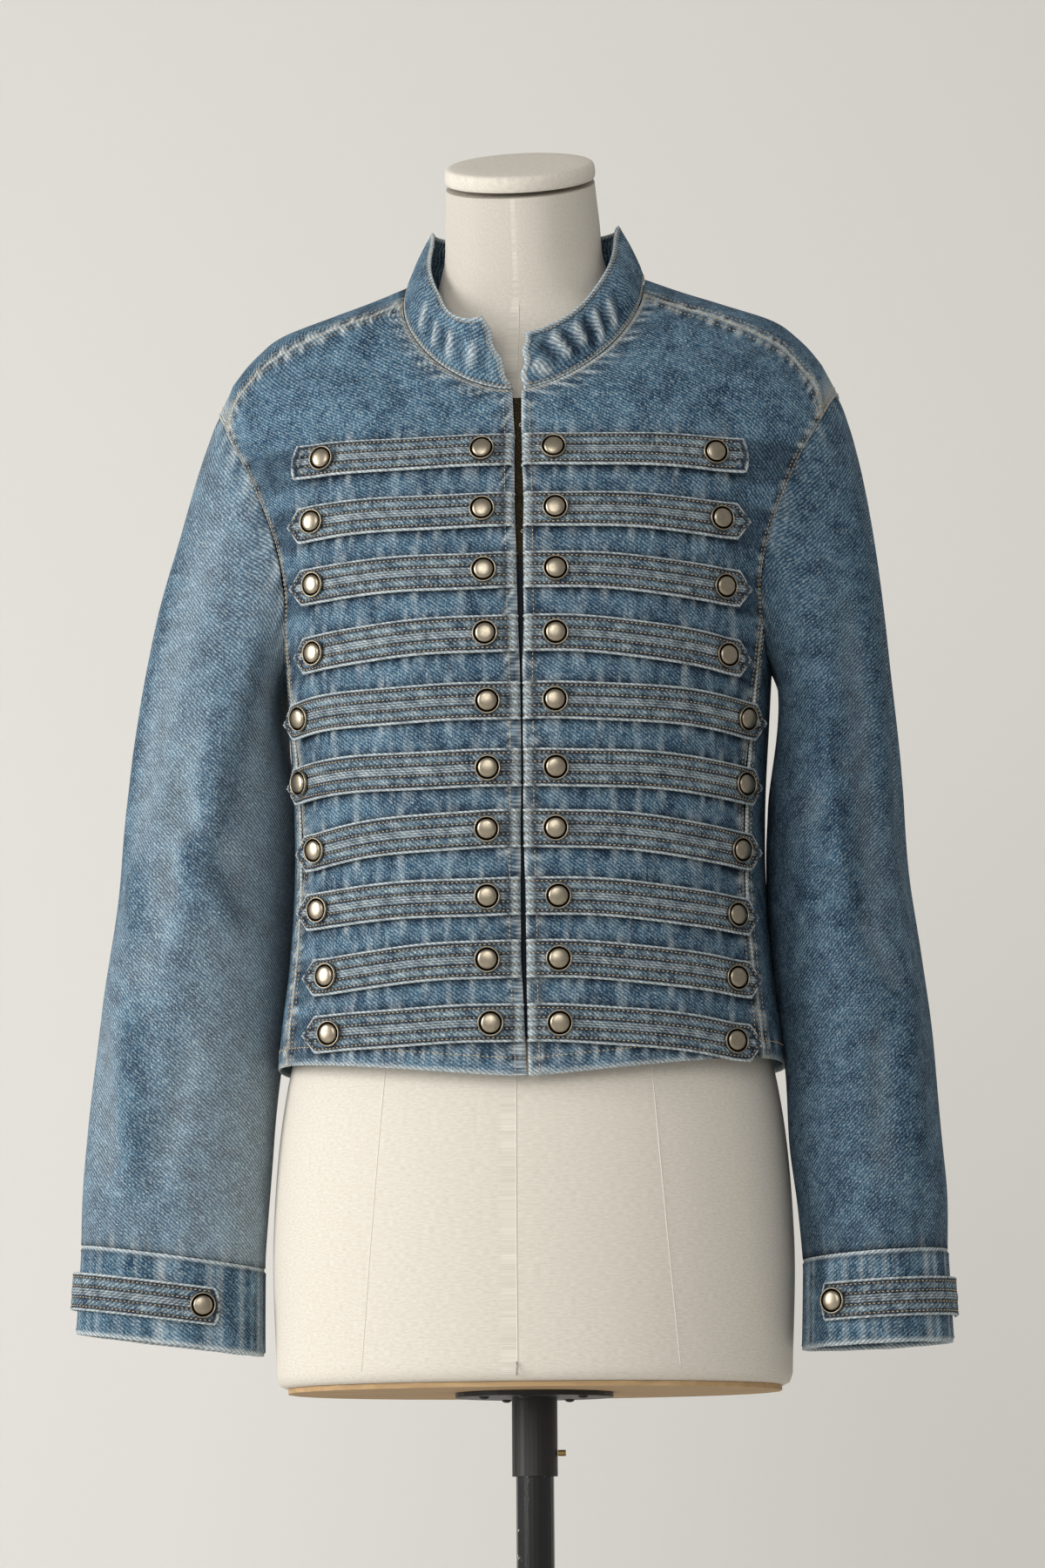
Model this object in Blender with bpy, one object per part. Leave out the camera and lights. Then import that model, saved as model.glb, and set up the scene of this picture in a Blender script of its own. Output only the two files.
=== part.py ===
"""Cropped denim jacket with ten rows of buttoned tabs, worn by a limbless dress form on a round foot.

Metres, +Z up. The jacket faces -Y and the origin is the middle of the foot's flat underside.
Every cloth piece is a wall on one family of rounded body sections or on rings along an arm.
"""
import bpy
import bmesh
import math
import numpy as np

# Driving dimensions
CLOTH = 0.0015            # one ply of denim with its seam allowance
COLLAR_CLOTH = 0.0022
TAB_CLOTH = 0.0024
SEAM_GAP = 0.0003
TAB_LIFT = 0.0008         # clearance between a tab and the panel under it
TAB_WIDTH = 0.0250
OUTER_BUTTON_INSET = 0.0235
BUTTON_DIAMETER = 0.017
BUTTON_HEIGHT = 0.0052
CUFF_TAB_WIDTH = 0.0235
CUFF_TAB_LIFT = 0.0014    # the cuff's wall is more sharply curved, so its tab needs more room
CUFF_TAB_DROP = 0.001     # the tab sits this far below the middle of the cuff
FORM_BOTTOM = 0.720
POLE_RADIUS = 0.0125
SOCKET_RADIUS = 0.0150
SOCKET_LENGTH = 0.051
FLANGE_RADIUS = 0.052
FLANGE_THICKNESS = 0.003
BOARD_THICKNESS = 0.0036
BOARD_INSET = 0.001       # the board stays this far inside the covering's lowest ring
FOOT_RADIUS = 0.210
FOOT_THICKNESS = 0.016

# Jacket body sections: height, half width, front depth, back depth, squareness
BODY = np.array([
    (0.905, 0.1685, 0.119, 0.118, 2.35),
    (0.950, 0.1670, 0.121, 0.116, 2.35),
    (1.000, 0.1610, 0.123, 0.111, 2.35),
    (1.050, 0.1575, 0.126, 0.109, 2.35),
    (1.100, 0.1575, 0.130, 0.113, 2.35),
    (1.160, 0.1610, 0.134, 0.120, 2.35),
    (1.220, 0.1660, 0.133, 0.126, 2.30),
    (1.280, 0.1780, 0.126, 0.127, 2.25),
    (1.330, 0.1960, 0.112, 0.123, 2.20),
    (1.370, 0.2110, 0.095, 0.114, 2.10),
    (1.390, 0.2120, 0.084, 0.106, 2.05),
    (1.410, 0.2010, 0.071, 0.096, 2.00),
    (1.428, 0.1860, 0.058, 0.085, 2.00),
    (1.440, 0.1710, 0.048, 0.076, 2.00),
    (1.452, 0.1400, 0.037, 0.066, 2.00),
    (1.464, 0.1070, 0.027, 0.056, 2.00),
    (1.475, 0.0800, 0.018, 0.047, 2.00),
])
HEM_FRONT = 0.915
HEM_RISE = 0.018          # the hem climbs this much from centre front to the sides
HEM_SEAM_ANGLE = 66.0     # the side seam lies forward of the side
# Armhole: a rounded loop in angle round the body and height
ARMHOLE_ANGLE = 90.5
ARMHOLE_HALF_ANGLE = 22.5
ARMHOLE_HEIGHT = 1.294
ARMHOLE_HALF_HEIGHT = 0.093
ARMHOLE_SQUARENESS = 2.6
# Shoulder seam: distance from the centre, height
SHOULDER_SEAM = ((0.082, 1.457), (0.107, 1.4445), (0.137, 1.4335), (0.161, 1.423), (0.177, 1.4135),
                 (0.190, 1.397))
NECK_HALF_WIDTH = 0.082
NECK_FRONT = 1.374
NECK_SQUARENESS = 1.75
# Closing edge of each front: height, wearer's right edge x, wearer's left edge x
CLOSURE = np.array([
    (0.900, 0.0082, 0.0096),
    (0.960, 0.0070, 0.0088),
    (1.150, 0.0058, 0.0088),
    (1.220, 0.0040, 0.0090),
    (1.300, 0.0028, 0.0090),
    (1.374, -0.0012, 0.0052),
])
# Tab rows, top to bottom: height at the closing edge, then height at the outer button and
# x of the pointed end for the wearer's right front, and the same for the left front
TABS = (
    (1.3270, 1.3300, -0.1495, 1.3268, 0.1545),
    (1.2842, 1.2877, -0.1550, 1.2823, 0.1570),
    (1.2428, 1.2454, -0.1535, 1.2375, 0.1580),
    (1.2005, 1.1994, -0.1530, 1.1919, 0.1585),
    (1.1562, 1.1590, -0.1640, 1.1532, 0.1690),
    (1.1130, 1.1167, -0.1640, 1.1100, 0.1670),
    (1.0740, 1.0696, -0.1530, 1.0661, 0.1640),
    (1.0305, 1.0298, -0.1510, 1.0224, 0.1610),
    (0.9902, 0.9853, -0.1450, 0.9808, 0.1610),
    (0.9492, 0.9476, -0.1430, 0.9397, 0.1600),
)
# Sleeve rings: height of the ring's middle, outer x, inner x, y of the middle, half depth, tilt
SLEEVE_RIGHT = (
    (1.115, 0.2685, 0.1680, 0.004, 0.066, 0.014),
    (1.050, 0.2755, 0.1650, 0.002, 0.064, 0.010),
    (1.000, 0.2845, 0.1670, -0.001, 0.060, 0.008),
    (0.940, 0.2920, 0.1700, -0.005, 0.055, 0.007),
    (0.880, 0.2975, 0.1730, -0.009, 0.047, 0.007),
    (0.842, 0.2998, 0.1755, -0.011, 0.040, 0.008),
    (0.8112, 0.3003, 0.1775, -0.012, 0.033, 0.0085),
)
SLEEVE_LEFT = (
    (1.115, 0.2465, 0.1660, 0.004, 0.074, 0.012),
    (1.050, 0.2500, 0.1640, 0.001, 0.071, 0.009),
    (1.000, 0.2570, 0.1670, -0.003, 0.066, 0.006),
    (0.940, 0.2645, 0.1690, -0.007, 0.060, 0.004),
    (0.880, 0.2700, 0.1705, -0.011, 0.053, 0.003),
    (0.842, 0.2728, 0.1750, -0.013, 0.048, 0.003),
    (0.8065, 0.2723, 0.1780, -0.014, 0.044, 0.003),
)
CUFF_RIGHT_END = (0.7530, 0.3032, 0.1773, -0.013, 0.029, 0.0080)
CUFF_LEFT_END = (0.7470, 0.2747, 0.1762, -0.015, 0.042, 0.0020)
# Collar: angle round the neck from centre front, lean towards the neck, rise, slide to the side
COLLAR_RIGHT = ((0, 0.004, 0.052, 0.020), (25, 0.010, 0.046, 0.012), (55, 0.018, 0.040, 0.004),
                (90, 0.019, 0.036, 0.0), (180, 0.010, 0.040, 0.0))
COLLAR_LEFT = ((0, 0.010, 0.041, 0.002), (25, 0.014, 0.042, 0.003), (55, 0.019, 0.040, 0.002),
               (90, 0.019, 0.036, 0.0), (180, 0.010, 0.040, 0.0))
# Dress form sections: height, half width, front depth, back depth, middle y, forward tilt in degrees
FORM = (
    (0.7235, 0.1635, 0.1040, 0.1130, 0.0, 0),
    (0.7255, 0.1675, 0.1080, 0.1170, 0.0, 0),
    (0.7310, 0.1695, 0.1100, 0.1190, 0.0, 0),
    (0.8200, 0.1720, 0.1120, 0.1230, 0.0, 0),
    (0.9300, 0.1610, 0.1060, 0.1080, 0.0, 0),
    (1.0000, 0.1420, 0.0960, 0.0920, 0.0, 0),
    (1.0700, 0.1260, 0.0930, 0.0860, 0.0, 0),
    (1.1400, 0.1330, 0.1080, 0.0940, 0.0, 0),
    (1.2100, 0.1480, 0.1220, 0.1060, 0.0, 0),
    (1.2700, 0.1560, 0.1150, 0.1120, 0.0, 0),
    (1.3300, 0.1680, 0.0980, 0.1080, 0.0, 0),
    (1.3800, 0.1740, 0.0750, 0.0960, 0.0, 0),
    (1.4080, 0.1650, 0.0620, 0.0850, 0.0, 2),
    (1.4280, 0.1380, 0.0560, 0.0700, -0.001, 5),
    (1.4440, 0.1000, 0.0530, 0.0570, -0.003, 8),
    (1.4600, 0.0670, 0.0510, 0.0500, -0.007, 12),
    (1.4800, 0.0560, 0.0500, 0.0480, -0.014, 17),
    (1.5100, 0.0525, 0.0500, 0.0480, -0.026, 23),
    (1.5330, 0.0505, 0.0490, 0.0470, -0.037, 28),
)
CAP_TILT = 28
CAP_MIDDLE = (0.0, -0.0387, 1.5362)
CAP_HALF_WIDTH = 0.0505
CAP_HEIGHT = 0.011
CAP_INSET = 0.002         # the cap is this much shallower than it is wide


def hermite(table, height, column):
    """Smooth value of one column of a table at a height."""
    heights = table[:, 0]
    values = table[:, column]
    slopes = np.gradient(values, heights)
    height = min(max(height, heights[0]), heights[-1])
    i = min(max(int(np.searchsorted(heights, height)) - 1, 0), len(heights) - 2)
    step = heights[i + 1] - heights[i]
    t = (height - heights[i]) / step
    rise = 3 * t * t - 2 * t ** 3
    return (values[i] * (1 - rise) + values[i + 1] * rise
            + step * (slopes[i] * (t ** 3 - 2 * t * t + t) + slopes[i + 1] * (t ** 3 - t * t)))


def body_point(angle, height):
    """Outer face of the jacket at an angle in degrees from centre front, towards +X."""
    half, front, back, square = (hermite(BODY, height, c) for c in (1, 2, 3, 4))
    s = math.sin(math.radians(angle))
    c = math.cos(math.radians(angle))
    x = half * math.copysign(abs(s) ** (2 / square), s)
    depth = front if c > 0 else back
    y = -depth * math.copysign(abs(c) ** (2 / square), c)
    return np.array((x, y, height))


def angle_at(x, height):
    """Angle on the front of the body whose point lies at x."""
    ratio = min(abs(x) / hermite(BODY, height, 1), 1.0)
    return math.degrees(math.asin(ratio ** (hermite(BODY, height, 4) / 2))) * (1 if x >= 0 else -1)


def hem_height(angle):
    return HEM_FRONT + HEM_RISE * math.sin(math.radians(min(abs(angle), 90)))


def armhole(t):
    """Armhole loop in (angle, height): t 0 top, 0.25 front, 0.5 underarm, 0.75 back."""
    power = 2 / ARMHOLE_SQUARENESS
    c = math.cos(2 * math.pi * t)
    s = math.sin(2 * math.pi * t)
    return (ARMHOLE_ANGLE - ARMHOLE_HALF_ANGLE * math.copysign(abs(s) ** power, s),
            ARMHOLE_HEIGHT + ARMHOLE_HALF_HEIGHT * math.copysign(abs(c) ** power, c))


# Shared borders are sampled alike on both pieces; the armhole and the sleeves have ARM_POINTS
ARM_POINTS = 24
SHOULDER_END_T = 3 / ARM_POINTS
UNDERARM_T = 9 / ARM_POINTS
BACK_SCOOP_T = 14 / ARM_POINTS
SIDE_POINTS = 11
SHOULDER_POINTS = 8
NECK_POINTS = 7
NAPE_POINTS = 5
SEAM_ANGLE = 1.3 * SEAM_GAP / 0.0028   # an angle round the body that clears the inner faces too


def armhole_run(start, end):
    """Armhole points from one t to another, a step of the sleeve's ring apart."""
    count = round(abs(end - start) * ARM_POINTS) + 1
    return np.array([armhole(t) for t in np.linspace(start, end, count)])


def even(points, count):
    """The same line through evenly spaced points, on (angle, height) pairs."""
    points = np.array(points, float)
    scaled = points * (0.0028, 1.0)
    length = np.concatenate(([0], np.cumsum(np.linalg.norm(np.diff(scaled, axis=0), axis=1))))
    at = np.linspace(0, length[-1], count)
    return np.stack([np.interp(at, length, points[:, k]) for k in (0, 1)], axis=1)


def shoulder_line():
    """Shoulder seam from the neck to the sleeve."""
    line = [(angle_at(x, z), z) for x, z in SHOULDER_SEAM]
    return line + [armhole(SHOULDER_END_T)]


def neck_front(side):
    """Front neckline from the closing edge to the shoulder seam."""
    column = 1 if side < 0 else 2
    start = side * float(np.interp(NECK_FRONT, CLOSURE[:, 0], CLOSURE[:, column]))
    top = SHOULDER_SEAM[0][1]
    line = []
    for k in range(25):
        x = start + (NECK_HALF_WIDTH - start) * math.sin(math.pi / 2 * k / 24)
        drop = (1 - (x / NECK_HALF_WIDTH) ** NECK_SQUARENESS) ** (1 / NECK_SQUARENESS)
        z = top - (top - NECK_FRONT) * max(drop, 0)
        line.append((angle_at(x, z), z))
    return line


def height_at(x, angle):
    """Height on the top of the shoulder where the point at an angle lies at x."""
    low = 1.392
    high = 1.475
    for _ in range(40):
        middle = (low + high) / 2
        if abs(body_point(angle, middle)[0]) > x:
            low = middle
        else:
            high = middle
    return middle


def neck_back():
    """Neckline from the shoulder seam, over the shoulder's ridge, to centre back."""
    start = shoulder_line()[0][0]
    side = [(a, height_at(NECK_HALF_WIDTH, a)) for a in np.linspace(start, 90, 9)]
    return side + [(a, side[-1][1]) for a in np.linspace(100, 180, 9)]


def closing_line(side):
    column = 1 if side < 0 else 2
    line = []
    for z in np.linspace(HEM_FRONT, NECK_FRONT, 30):
        x = side * float(np.interp(z, CLOSURE[:, 0], CLOSURE[:, column]))
        line.append((angle_at(x, z), z))
    return line


def side_line():
    """Side seam from the hem to the underarm."""
    end = armhole(UNDERARM_T)
    start = (HEM_SEAM_ANGLE, hem_height(HEM_SEAM_ANGLE))
    return [(start[0] + (end[0] - start[0]) * t ** 1.6, start[1] + (end[1] - start[1]) * t)
            for t in np.linspace(0, 1, 24)]


def patch(left, right, bottom, top):
    """Fill four matching borders of (angle, height)."""
    rows = len(left)
    columns = len(bottom)
    grid = np.zeros((rows, columns, 2))
    for i in range(rows):
        v = i / (rows - 1)
        for j in range(columns):
            u = j / (columns - 1)
            grid[i, j] = ((1 - v) * bottom[j] + v * top[j] + (1 - u) * left[i] + u * right[i]
                          - (1 - u) * (1 - v) * bottom[0] - u * (1 - v) * bottom[-1]
                          - (1 - u) * v * top[0] - u * v * top[-1])
    return grid


def front_grid(side):
    """Front panel in (angle, height) as if on the +X side."""
    edge = even(closing_line(side), SIDE_POINTS)
    left = np.concatenate((edge, even(neck_front(side), NECK_POINTS)[1:]))
    hole = armhole_run(UNDERARM_T, SHOULDER_END_T)
    right = np.concatenate((even(side_line(), SIDE_POINTS), hole[1:]))
    first = edge[0][0]
    hem_line = [(a, hem_height(a)) for a in np.linspace(first, HEM_SEAM_ANGLE, 24)]
    return patch(left, right, even(hem_line, SHOULDER_POINTS), even(shoulder_line(), SHOULDER_POINTS))


def back_grids():
    """Back panel in (angle, height): below the armholes, between them, then over each shoulder."""
    hem_line = [(a, hem_height(180 - abs(180 - a)))
                for a in np.linspace(HEM_SEAM_ANGLE, 360 - HEM_SEAM_ANGLE, 48)]
    seam = even(shoulder_line()[::-1], SHOULDER_POINTS)
    reach = [body_point(a, z)[0] for a, z in seam]
    ridge = [armhole(0.0)] + [(90, height_at(x, 90)) for x in reach[1:]]
    half = np.concatenate((ridge, nape_points()[1:]))
    top = np.concatenate((half, mirror(half)[::-1][1:]))
    scoop = armhole_run(UNDERARM_T, BACK_SCOOP_T)
    across = even([scoop[-1], mirror(scoop)[-1]], len(top))
    underarm = np.concatenate((scoop[:-1], across, mirror(scoop)[::-1][1:]))
    side = even(side_line(), SIDE_POINTS)
    lower = patch(side, mirror(side), even(hem_line, len(underarm)), underarm)
    hole = armhole_run(BACK_SCOOP_T, 1.0)
    between = patch(hole, mirror(hole), across, top)
    strip_rows = []
    for edge in armhole_run(0.0, SHOULDER_END_T):
        t = len(strip_rows) / (SHOULDER_END_T * ARM_POINTS)
        row = [edge]
        for x, r, s in list(zip(reach, ridge, seam))[1:]:
            angle = r[0] + (s[0] - r[0]) * t
            row.append((angle, r[1] if t == 0 else (s[1] if t == 1 else height_at(x, angle))))
        strip_rows.append(row)
    strip_rows = np.array(strip_rows)
    return lower, between, strip_rows, mirror(strip_rows)[:, ::-1]


def nape_points():
    return even(neck_back()[8:], NAPE_POINTS)


def mirror(line):
    """The same line on the other side of the body."""
    return line * (-1, 1) + (360, 0)


def material(name, colour, roughness, metallic=0.0):
    found = bpy.data.materials.get(name)
    if found:
        return found
    made = bpy.data.materials.new(name)
    made.use_nodes = True
    shader = made.node_tree.nodes["Principled BSDF"]
    shader.inputs["Base Color"].default_value = (*colour, 1)
    shader.inputs["Roughness"].default_value = roughness
    shader.inputs["Metallic"].default_value = metallic
    made.diffuse_color = (*colour, 1)
    return made


def denim():
    return material("washed_denim", (0.10, 0.19, 0.30), 0.85)


def tab_denim():
    return material("tab_denim", (0.16, 0.24, 0.32), 0.85)


def pewter():
    return material("antique_pewter", (0.42, 0.38, 0.33), 0.38, 1.0)


def linen():
    return material("cream_linen", (0.62, 0.56, 0.46), 0.9)


def black_metal():
    return material("black_metal", (0.012, 0.012, 0.013), 0.45, 0.0)


def wood():
    return material("board_wood", (0.45, 0.31, 0.18), 0.7)


def new_object(name, points, faces, surface):
    mesh = bpy.data.meshes.new(name)
    mesh.from_pydata([tuple(float(v) for v in p) for p in points], [], faces)
    mesh.materials.append(surface)
    mesh.validate()
    made = bpy.data.objects.new(name, mesh)
    bpy.context.scene.collection.objects.link(made)
    mesh.shade_smooth()
    mesh.set_sharp_from_angle(angle=math.radians(40))
    return made


def wall(name, grids, thickness, surface, loop=False, flip=False):
    """A cloth wall: the grids' points are its outer face and the thickness goes inwards."""
    points = []
    faces = []
    for grid in grids:
        first = len(points)
        columns = len(grid[0])
        points += [p for row in grid for p in row]
        for i in range(len(grid) - 1):
            for j in range(columns if loop else columns - 1):
                k = (j + 1) % columns
                face = [first + n for n in (i * columns + j, i * columns + k,
                                            (i + 1) * columns + k, (i + 1) * columns + j)]
                faces.append(face[::-1] if flip else face)
    made = new_object(name, points, faces, surface)
    if len(grids) > 1:
        shape = bmesh.new()
        shape.from_mesh(made.data)
        bmesh.ops.remove_doubles(shape, verts=shape.verts, dist=0.00002)
        shape.to_mesh(made.data)
        shape.free()
    solid = made.modifiers.new("thickness", "SOLIDIFY")
    solid.thickness = thickness
    solid.offset = -1
    return made


def skin(name, rings, surface):
    """A closed body through rings of points, bottom first, counter-clockwise seen from above."""
    columns = len(rings[0])
    points = [p for ring in rings for p in ring]
    faces = [tuple(range(columns))[::-1]]
    for i in range(len(rings) - 1):
        for j in range(columns):
            k = (j + 1) % columns
            faces.append((i * columns + j, i * columns + k, (i + 1) * columns + k, (i + 1) * columns + j))
    last = (len(rings) - 1) * columns
    faces.append(tuple(range(last, last + columns)))
    return new_object(name, points, faces, surface)


def turned(name, profile, sides, surface, ring=False):
    """A body turned about Z from (radius, height) pairs, bottom to top up its outer side."""
    rings = [[(r * math.cos(2 * math.pi * j / sides), r * math.sin(2 * math.pi * j / sides), z)
              for j in range(sides)] for r, z in profile]
    if not ring:
        return skin(name, rings, surface)
    points = [p for row in rings for p in row]
    count = len(profile)
    faces = []
    for i in range(count):
        for j in range(sides):
            k = (j + 1) % sides
            n = (i + 1) % count
            faces.append((i * sides + j, i * sides + k, n * sides + k, n * sides + j))
    return new_object(name, points, faces, surface)


def build_fronts():
    for side, name in ((-1, "front_right"), (1, "front_left")):
        grid = front_grid(side)
        grid[:, -1, 0] -= SEAM_ANGLE
        grid[-1, :, 0] -= 2 * SEAM_ANGLE
        grid[-1, :, 1] -= 2 * SEAM_GAP
        points = [[body_point(a, z) * (side, 1, 1) for a, z in row] for row in grid]
        wall(name, [points], CLOTH, denim(), flip=side < 0)


def build_back():
    grids = back_grids()
    grids[0][:, 0, 0] += SEAM_ANGLE
    grids[0][:, -1, 0] -= SEAM_ANGLE
    wall("back", [[[body_point(a, z) for a, z in row] for row in grid] for grid in grids],
         CLOTH, denim())


def front_spot(x, height, lift=0.0):
    """A point over the front of the jacket and the outward direction there."""
    angle = angle_at(x, height)
    here = body_point(angle, height)
    across = body_point(angle + 0.6, height) - body_point(angle - 0.6, height)
    along = body_point(angle, height + 0.003) - body_point(angle, height - 0.003)
    normal = np.cross(across, along)
    normal /= np.linalg.norm(normal)
    return here + normal * lift, normal, across / np.linalg.norm(across)


def tab_line(side, row, count):
    """Middle line of a tab from the closing edge to its pointed end, with the frame at each point."""
    start_z, right_z, right_tip, left_z, left_tip = row
    outer_z = right_z if side < 0 else left_z
    tip = abs(right_tip if side < 0 else left_tip)
    column = 1 if side < 0 else 2
    start = side * float(np.interp(start_z, CLOSURE[:, 0], CLOSURE[:, column])) + 0.0004
    button = tip - OUTER_BUTTON_INSET
    line = []
    for k in range(count):
        t = 1 - (1 - k / (count - 1)) ** 1.6
        x = start + (button - start) * t
        z = start_z + (outer_z - start_z) * t * t
        line.append(front_spot(x, z, TAB_LIFT))
    last, normal, across = line[-1]
    free = tip - button
    for reach in (free * 0.35, free):
        line.append((last + across * reach * 1.02, normal, across))
    return line


def strip(name, line, widths, thickness, surface, mirror):
    """A flat band along a line of (point, normal, along) with a half width at each point."""
    points = []
    for (p, normal, along), half in zip(line, widths):
        up = np.cross(normal, along)
        for out, w in ((0, -half), (0, half), (thickness, half), (thickness, -half)):
            points.append((p + normal * out + up * w) * (mirror, 1, 1))
    faces = [(0, 1, 2, 3)]
    for i in range(len(line) - 1):
        for j in range(4):
            k = (j + 1) % 4
            faces.append((4 * i + k, 4 * i + j, 4 * i + 4 + j, 4 * i + 4 + k))
    last = 4 * (len(line) - 1)
    faces.append((last + 3, last + 2, last + 1, last))
    return face_outwards(new_object(name, points, faces, surface))


def face_outwards(made):
    """Turn a closed body's faces outwards."""
    shape = bmesh.new()
    shape.from_mesh(made.data)
    bmesh.ops.recalc_face_normals(shape, faces=shape.faces)
    shape.to_mesh(made.data)
    shape.free()
    return made


def button(name, centre, normal):
    """A domed jean button with a rim, standing on the cloth."""
    r = BUTTON_DIAMETER / 2
    profile = ((r * 0.90, 0.0), (r, 0.0010), (r * 0.97, 0.0026), (r * 0.80, 0.0030),
               (r * 0.62, 0.0042), (r * 0.25, BUTTON_HEIGHT))
    made = turned(name, profile, 12, pewter())
    normal = np.array(normal)
    side = np.cross((0, 0, 1), normal)
    side /= np.linalg.norm(side)
    up = np.cross(normal, side)
    for vertex in made.data.vertices:
        x, y, z = vertex.co
        vertex.co = centre + side * x + up * y + normal * z
    return face_outwards(made)


def build_tabs():
    for side, label in ((-1, "right"), (1, "left")):
        for number, row in enumerate(TABS, 1):
            line = tab_line(side, row, 9)
            widths = [TAB_WIDTH / 2] * (len(line) - 1) + [TAB_WIDTH * 0.08]
            strip(f"tab_{label}_{number}", line, widths, TAB_CLOTH, tab_denim(), side)
            p, normal, _ = line[-3]
            centre = (p + normal * (TAB_CLOTH + SEAM_GAP)) * (side, 1, 1)
            button(f"button_{label}_{number}", centre, normal * (side, 1, 1))


def ring(row, count, side):
    """One sleeve ring: t 0 outer side, 0.25 front, 0.5 inner side, 0.75 back."""
    height, outer, inner, y, depth, tilt = row
    half = (outer - inner) / 2
    points = []
    for k in range(count):
        a = 2 * math.pi * k / count
        points.append(np.array((side * ((outer + inner) / 2 + half * math.cos(a)),
                                y - depth * math.sin(a), height + tilt * math.cos(a))))
    return points


def sleeve_head(count, side):
    """Armhole ring moved a seam gap into its opening."""
    points = [body_point(*armhole(k / count)) for k in range(count)]
    middle = sum(points) / count
    out = []
    for p in points:
        inward = (middle - p) * (0, 1, 1)
        out.append((p + 0.0009 * inward / np.linalg.norm(inward) + (0.0002, 0, 0)) * (side, 1, 1))
    return out


def sleeve_grid(rows, side, head_rows, count):
    """Sleeve rings from the armhole, through a rounded head, down to the cuff seam."""
    head = sleeve_head(count, side)
    first = ring(rows[0], count, side)
    down = (np.array(ring(rows[1], count, side)) - np.array(first)).mean(axis=0)
    down /= np.linalg.norm(down)
    grid = []
    for i in range(head_rows):
        t = i / head_rows
        line = []
        for k in range(count):
            high = (1 + math.cos(2 * math.pi * k / count)) / 2
            leave = np.array((side * (0.050 - 0.028 * high), 0, -0.004 - 0.040 * high))
            arrive = first[k] - down * (0.035 + 0.045 * high)
            a = head[k]
            b = head[k] + leave
            line.append((1 - t) ** 3 * a + 3 * (1 - t) ** 2 * t * b
                        + 3 * (1 - t) * t * t * arrive + t ** 3 * first[k])
        grid.append(line)
    return grid + [ring(r, count, side) for r in rows]


def lowered(row, drop):
    return (row[0] - drop, *row[1:])


def build_sleeves():
    for side, name, rows, end in ((-1, "right", SLEEVE_RIGHT, CUFF_RIGHT_END),
                                  (1, "left", SLEEVE_LEFT, CUFF_LEFT_END)):
        grid = sleeve_grid(rows, side, 8, ARM_POINTS)
        wall(f"sleeve_{name}", [grid[::-1]], CLOTH, denim(), loop=True, flip=side > 0)
        top = lowered(rows[-1], SEAM_GAP * 1.5)
        middle = tuple((a + b) / 2 for a, b in zip(top, end))
        cuff = [ring(r, ARM_POINTS, side) for r in (end, middle, top)]
        wall(f"cuff_{name}", [cuff], CLOTH, denim(), loop=True, flip=side > 0)
        build_cuff_tab(side, name, top, end)


def ring_spot(row, t):
    height, outer, inner, y, depth, tilt = row
    a = 2 * math.pi * t
    return np.array(((outer + inner) / 2 + (outer - inner) / 2 * math.cos(a),
                     y - depth * math.sin(a), height + tilt * math.cos(a)))


def build_cuff_tab(side, name, top, end):
    """Tab round the outer and front sides of a cuff, with its button."""
    line = []
    for t in np.linspace(0.35 if side < 0 else 0.37, -0.04, 12):
        low, high = ring_spot(end, t), ring_spot(top, t)
        up = (high - low) / np.linalg.norm(high - low)
        along = ring_spot(end, t - 0.01) - ring_spot(end, t + 0.01)
        along /= np.linalg.norm(along)
        normal = np.cross(along, up)
        normal /= np.linalg.norm(normal)
        line.append(((low + high) / 2 + normal * CUFF_TAB_LIFT - up * CUFF_TAB_DROP,
                     normal, along))
    widths = [CUFF_TAB_WIDTH * 0.36] + [CUFF_TAB_WIDTH / 2] * (len(line) - 1)
    strip(f"cuff_tab_{name}", line, widths, TAB_CLOTH, tab_denim(), side)
    p, normal, _ = line[1]
    button(f"button_cuff_{name}", (p + normal * (TAB_CLOTH + TAB_LIFT)) * (side, 1, 1),
           normal * (side, 1, 1))


def collar_base():
    """Neckline from the wearer's right closing edge round the back to the left one."""
    over = even(neck_back()[:9], round(SHOULDER_END_T * ARM_POINTS) + 1)[1:-1]
    halves = [np.concatenate((even(neck_front(side), NECK_POINTS), over, nape_points()))
              for side in (-1, 1)]
    right = [body_point(a, z) * (-1, 1, 1) for a, z in halves[0]]
    left = [body_point(a, z) for a, z in halves[1]]
    return right + left[::-1][1:]


def build_collar():
    base = collar_base()
    middle = np.array((0.0, -0.020, 0.0))
    low = []
    mid = []
    high = []
    for p in base:
        side = -1 if p[0] < 0.001 else 1
        table = np.array(COLLAR_RIGHT if side < 0 else COLLAR_LEFT)
        flat = (p - middle) * (1, 1, 0)
        angle = math.degrees(math.atan2(abs(flat[0]), -flat[1]))
        lean, rise, slide = (float(np.interp(angle, table[:, 0], table[:, c])) for c in (1, 2, 3))
        inward = -flat / np.linalg.norm(flat)
        start = p + inward * 0.0006 + np.array((0, 0, 0.0012))
        move = inward * lean + np.array((side * slide, 0, rise))
        low.append(start)
        mid.append(start + move * 0.5 - inward * 0.0015)
        high.append(start + move)
    wall("collar", [[low, mid, high]], COLLAR_CLOTH, denim(), flip=True)


def form_ring(row, count, grow=0.0):
    height, half, front, back, middle, tilt = row
    slope = math.radians(tilt)
    points = []
    for k in range(count):
        a = 2 * math.pi * k / count - math.pi / 2
        c = math.cos(a)
        s = math.sin(a)
        x = (half + grow) * math.copysign(abs(c) ** 0.92, c)
        depth = (front if s < 0 else back) + grow
        reach = depth * math.copysign(abs(s) ** 0.92, s)
        points.append((x, middle + reach * math.cos(slope), height + reach * math.sin(slope)))
    return points


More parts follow.
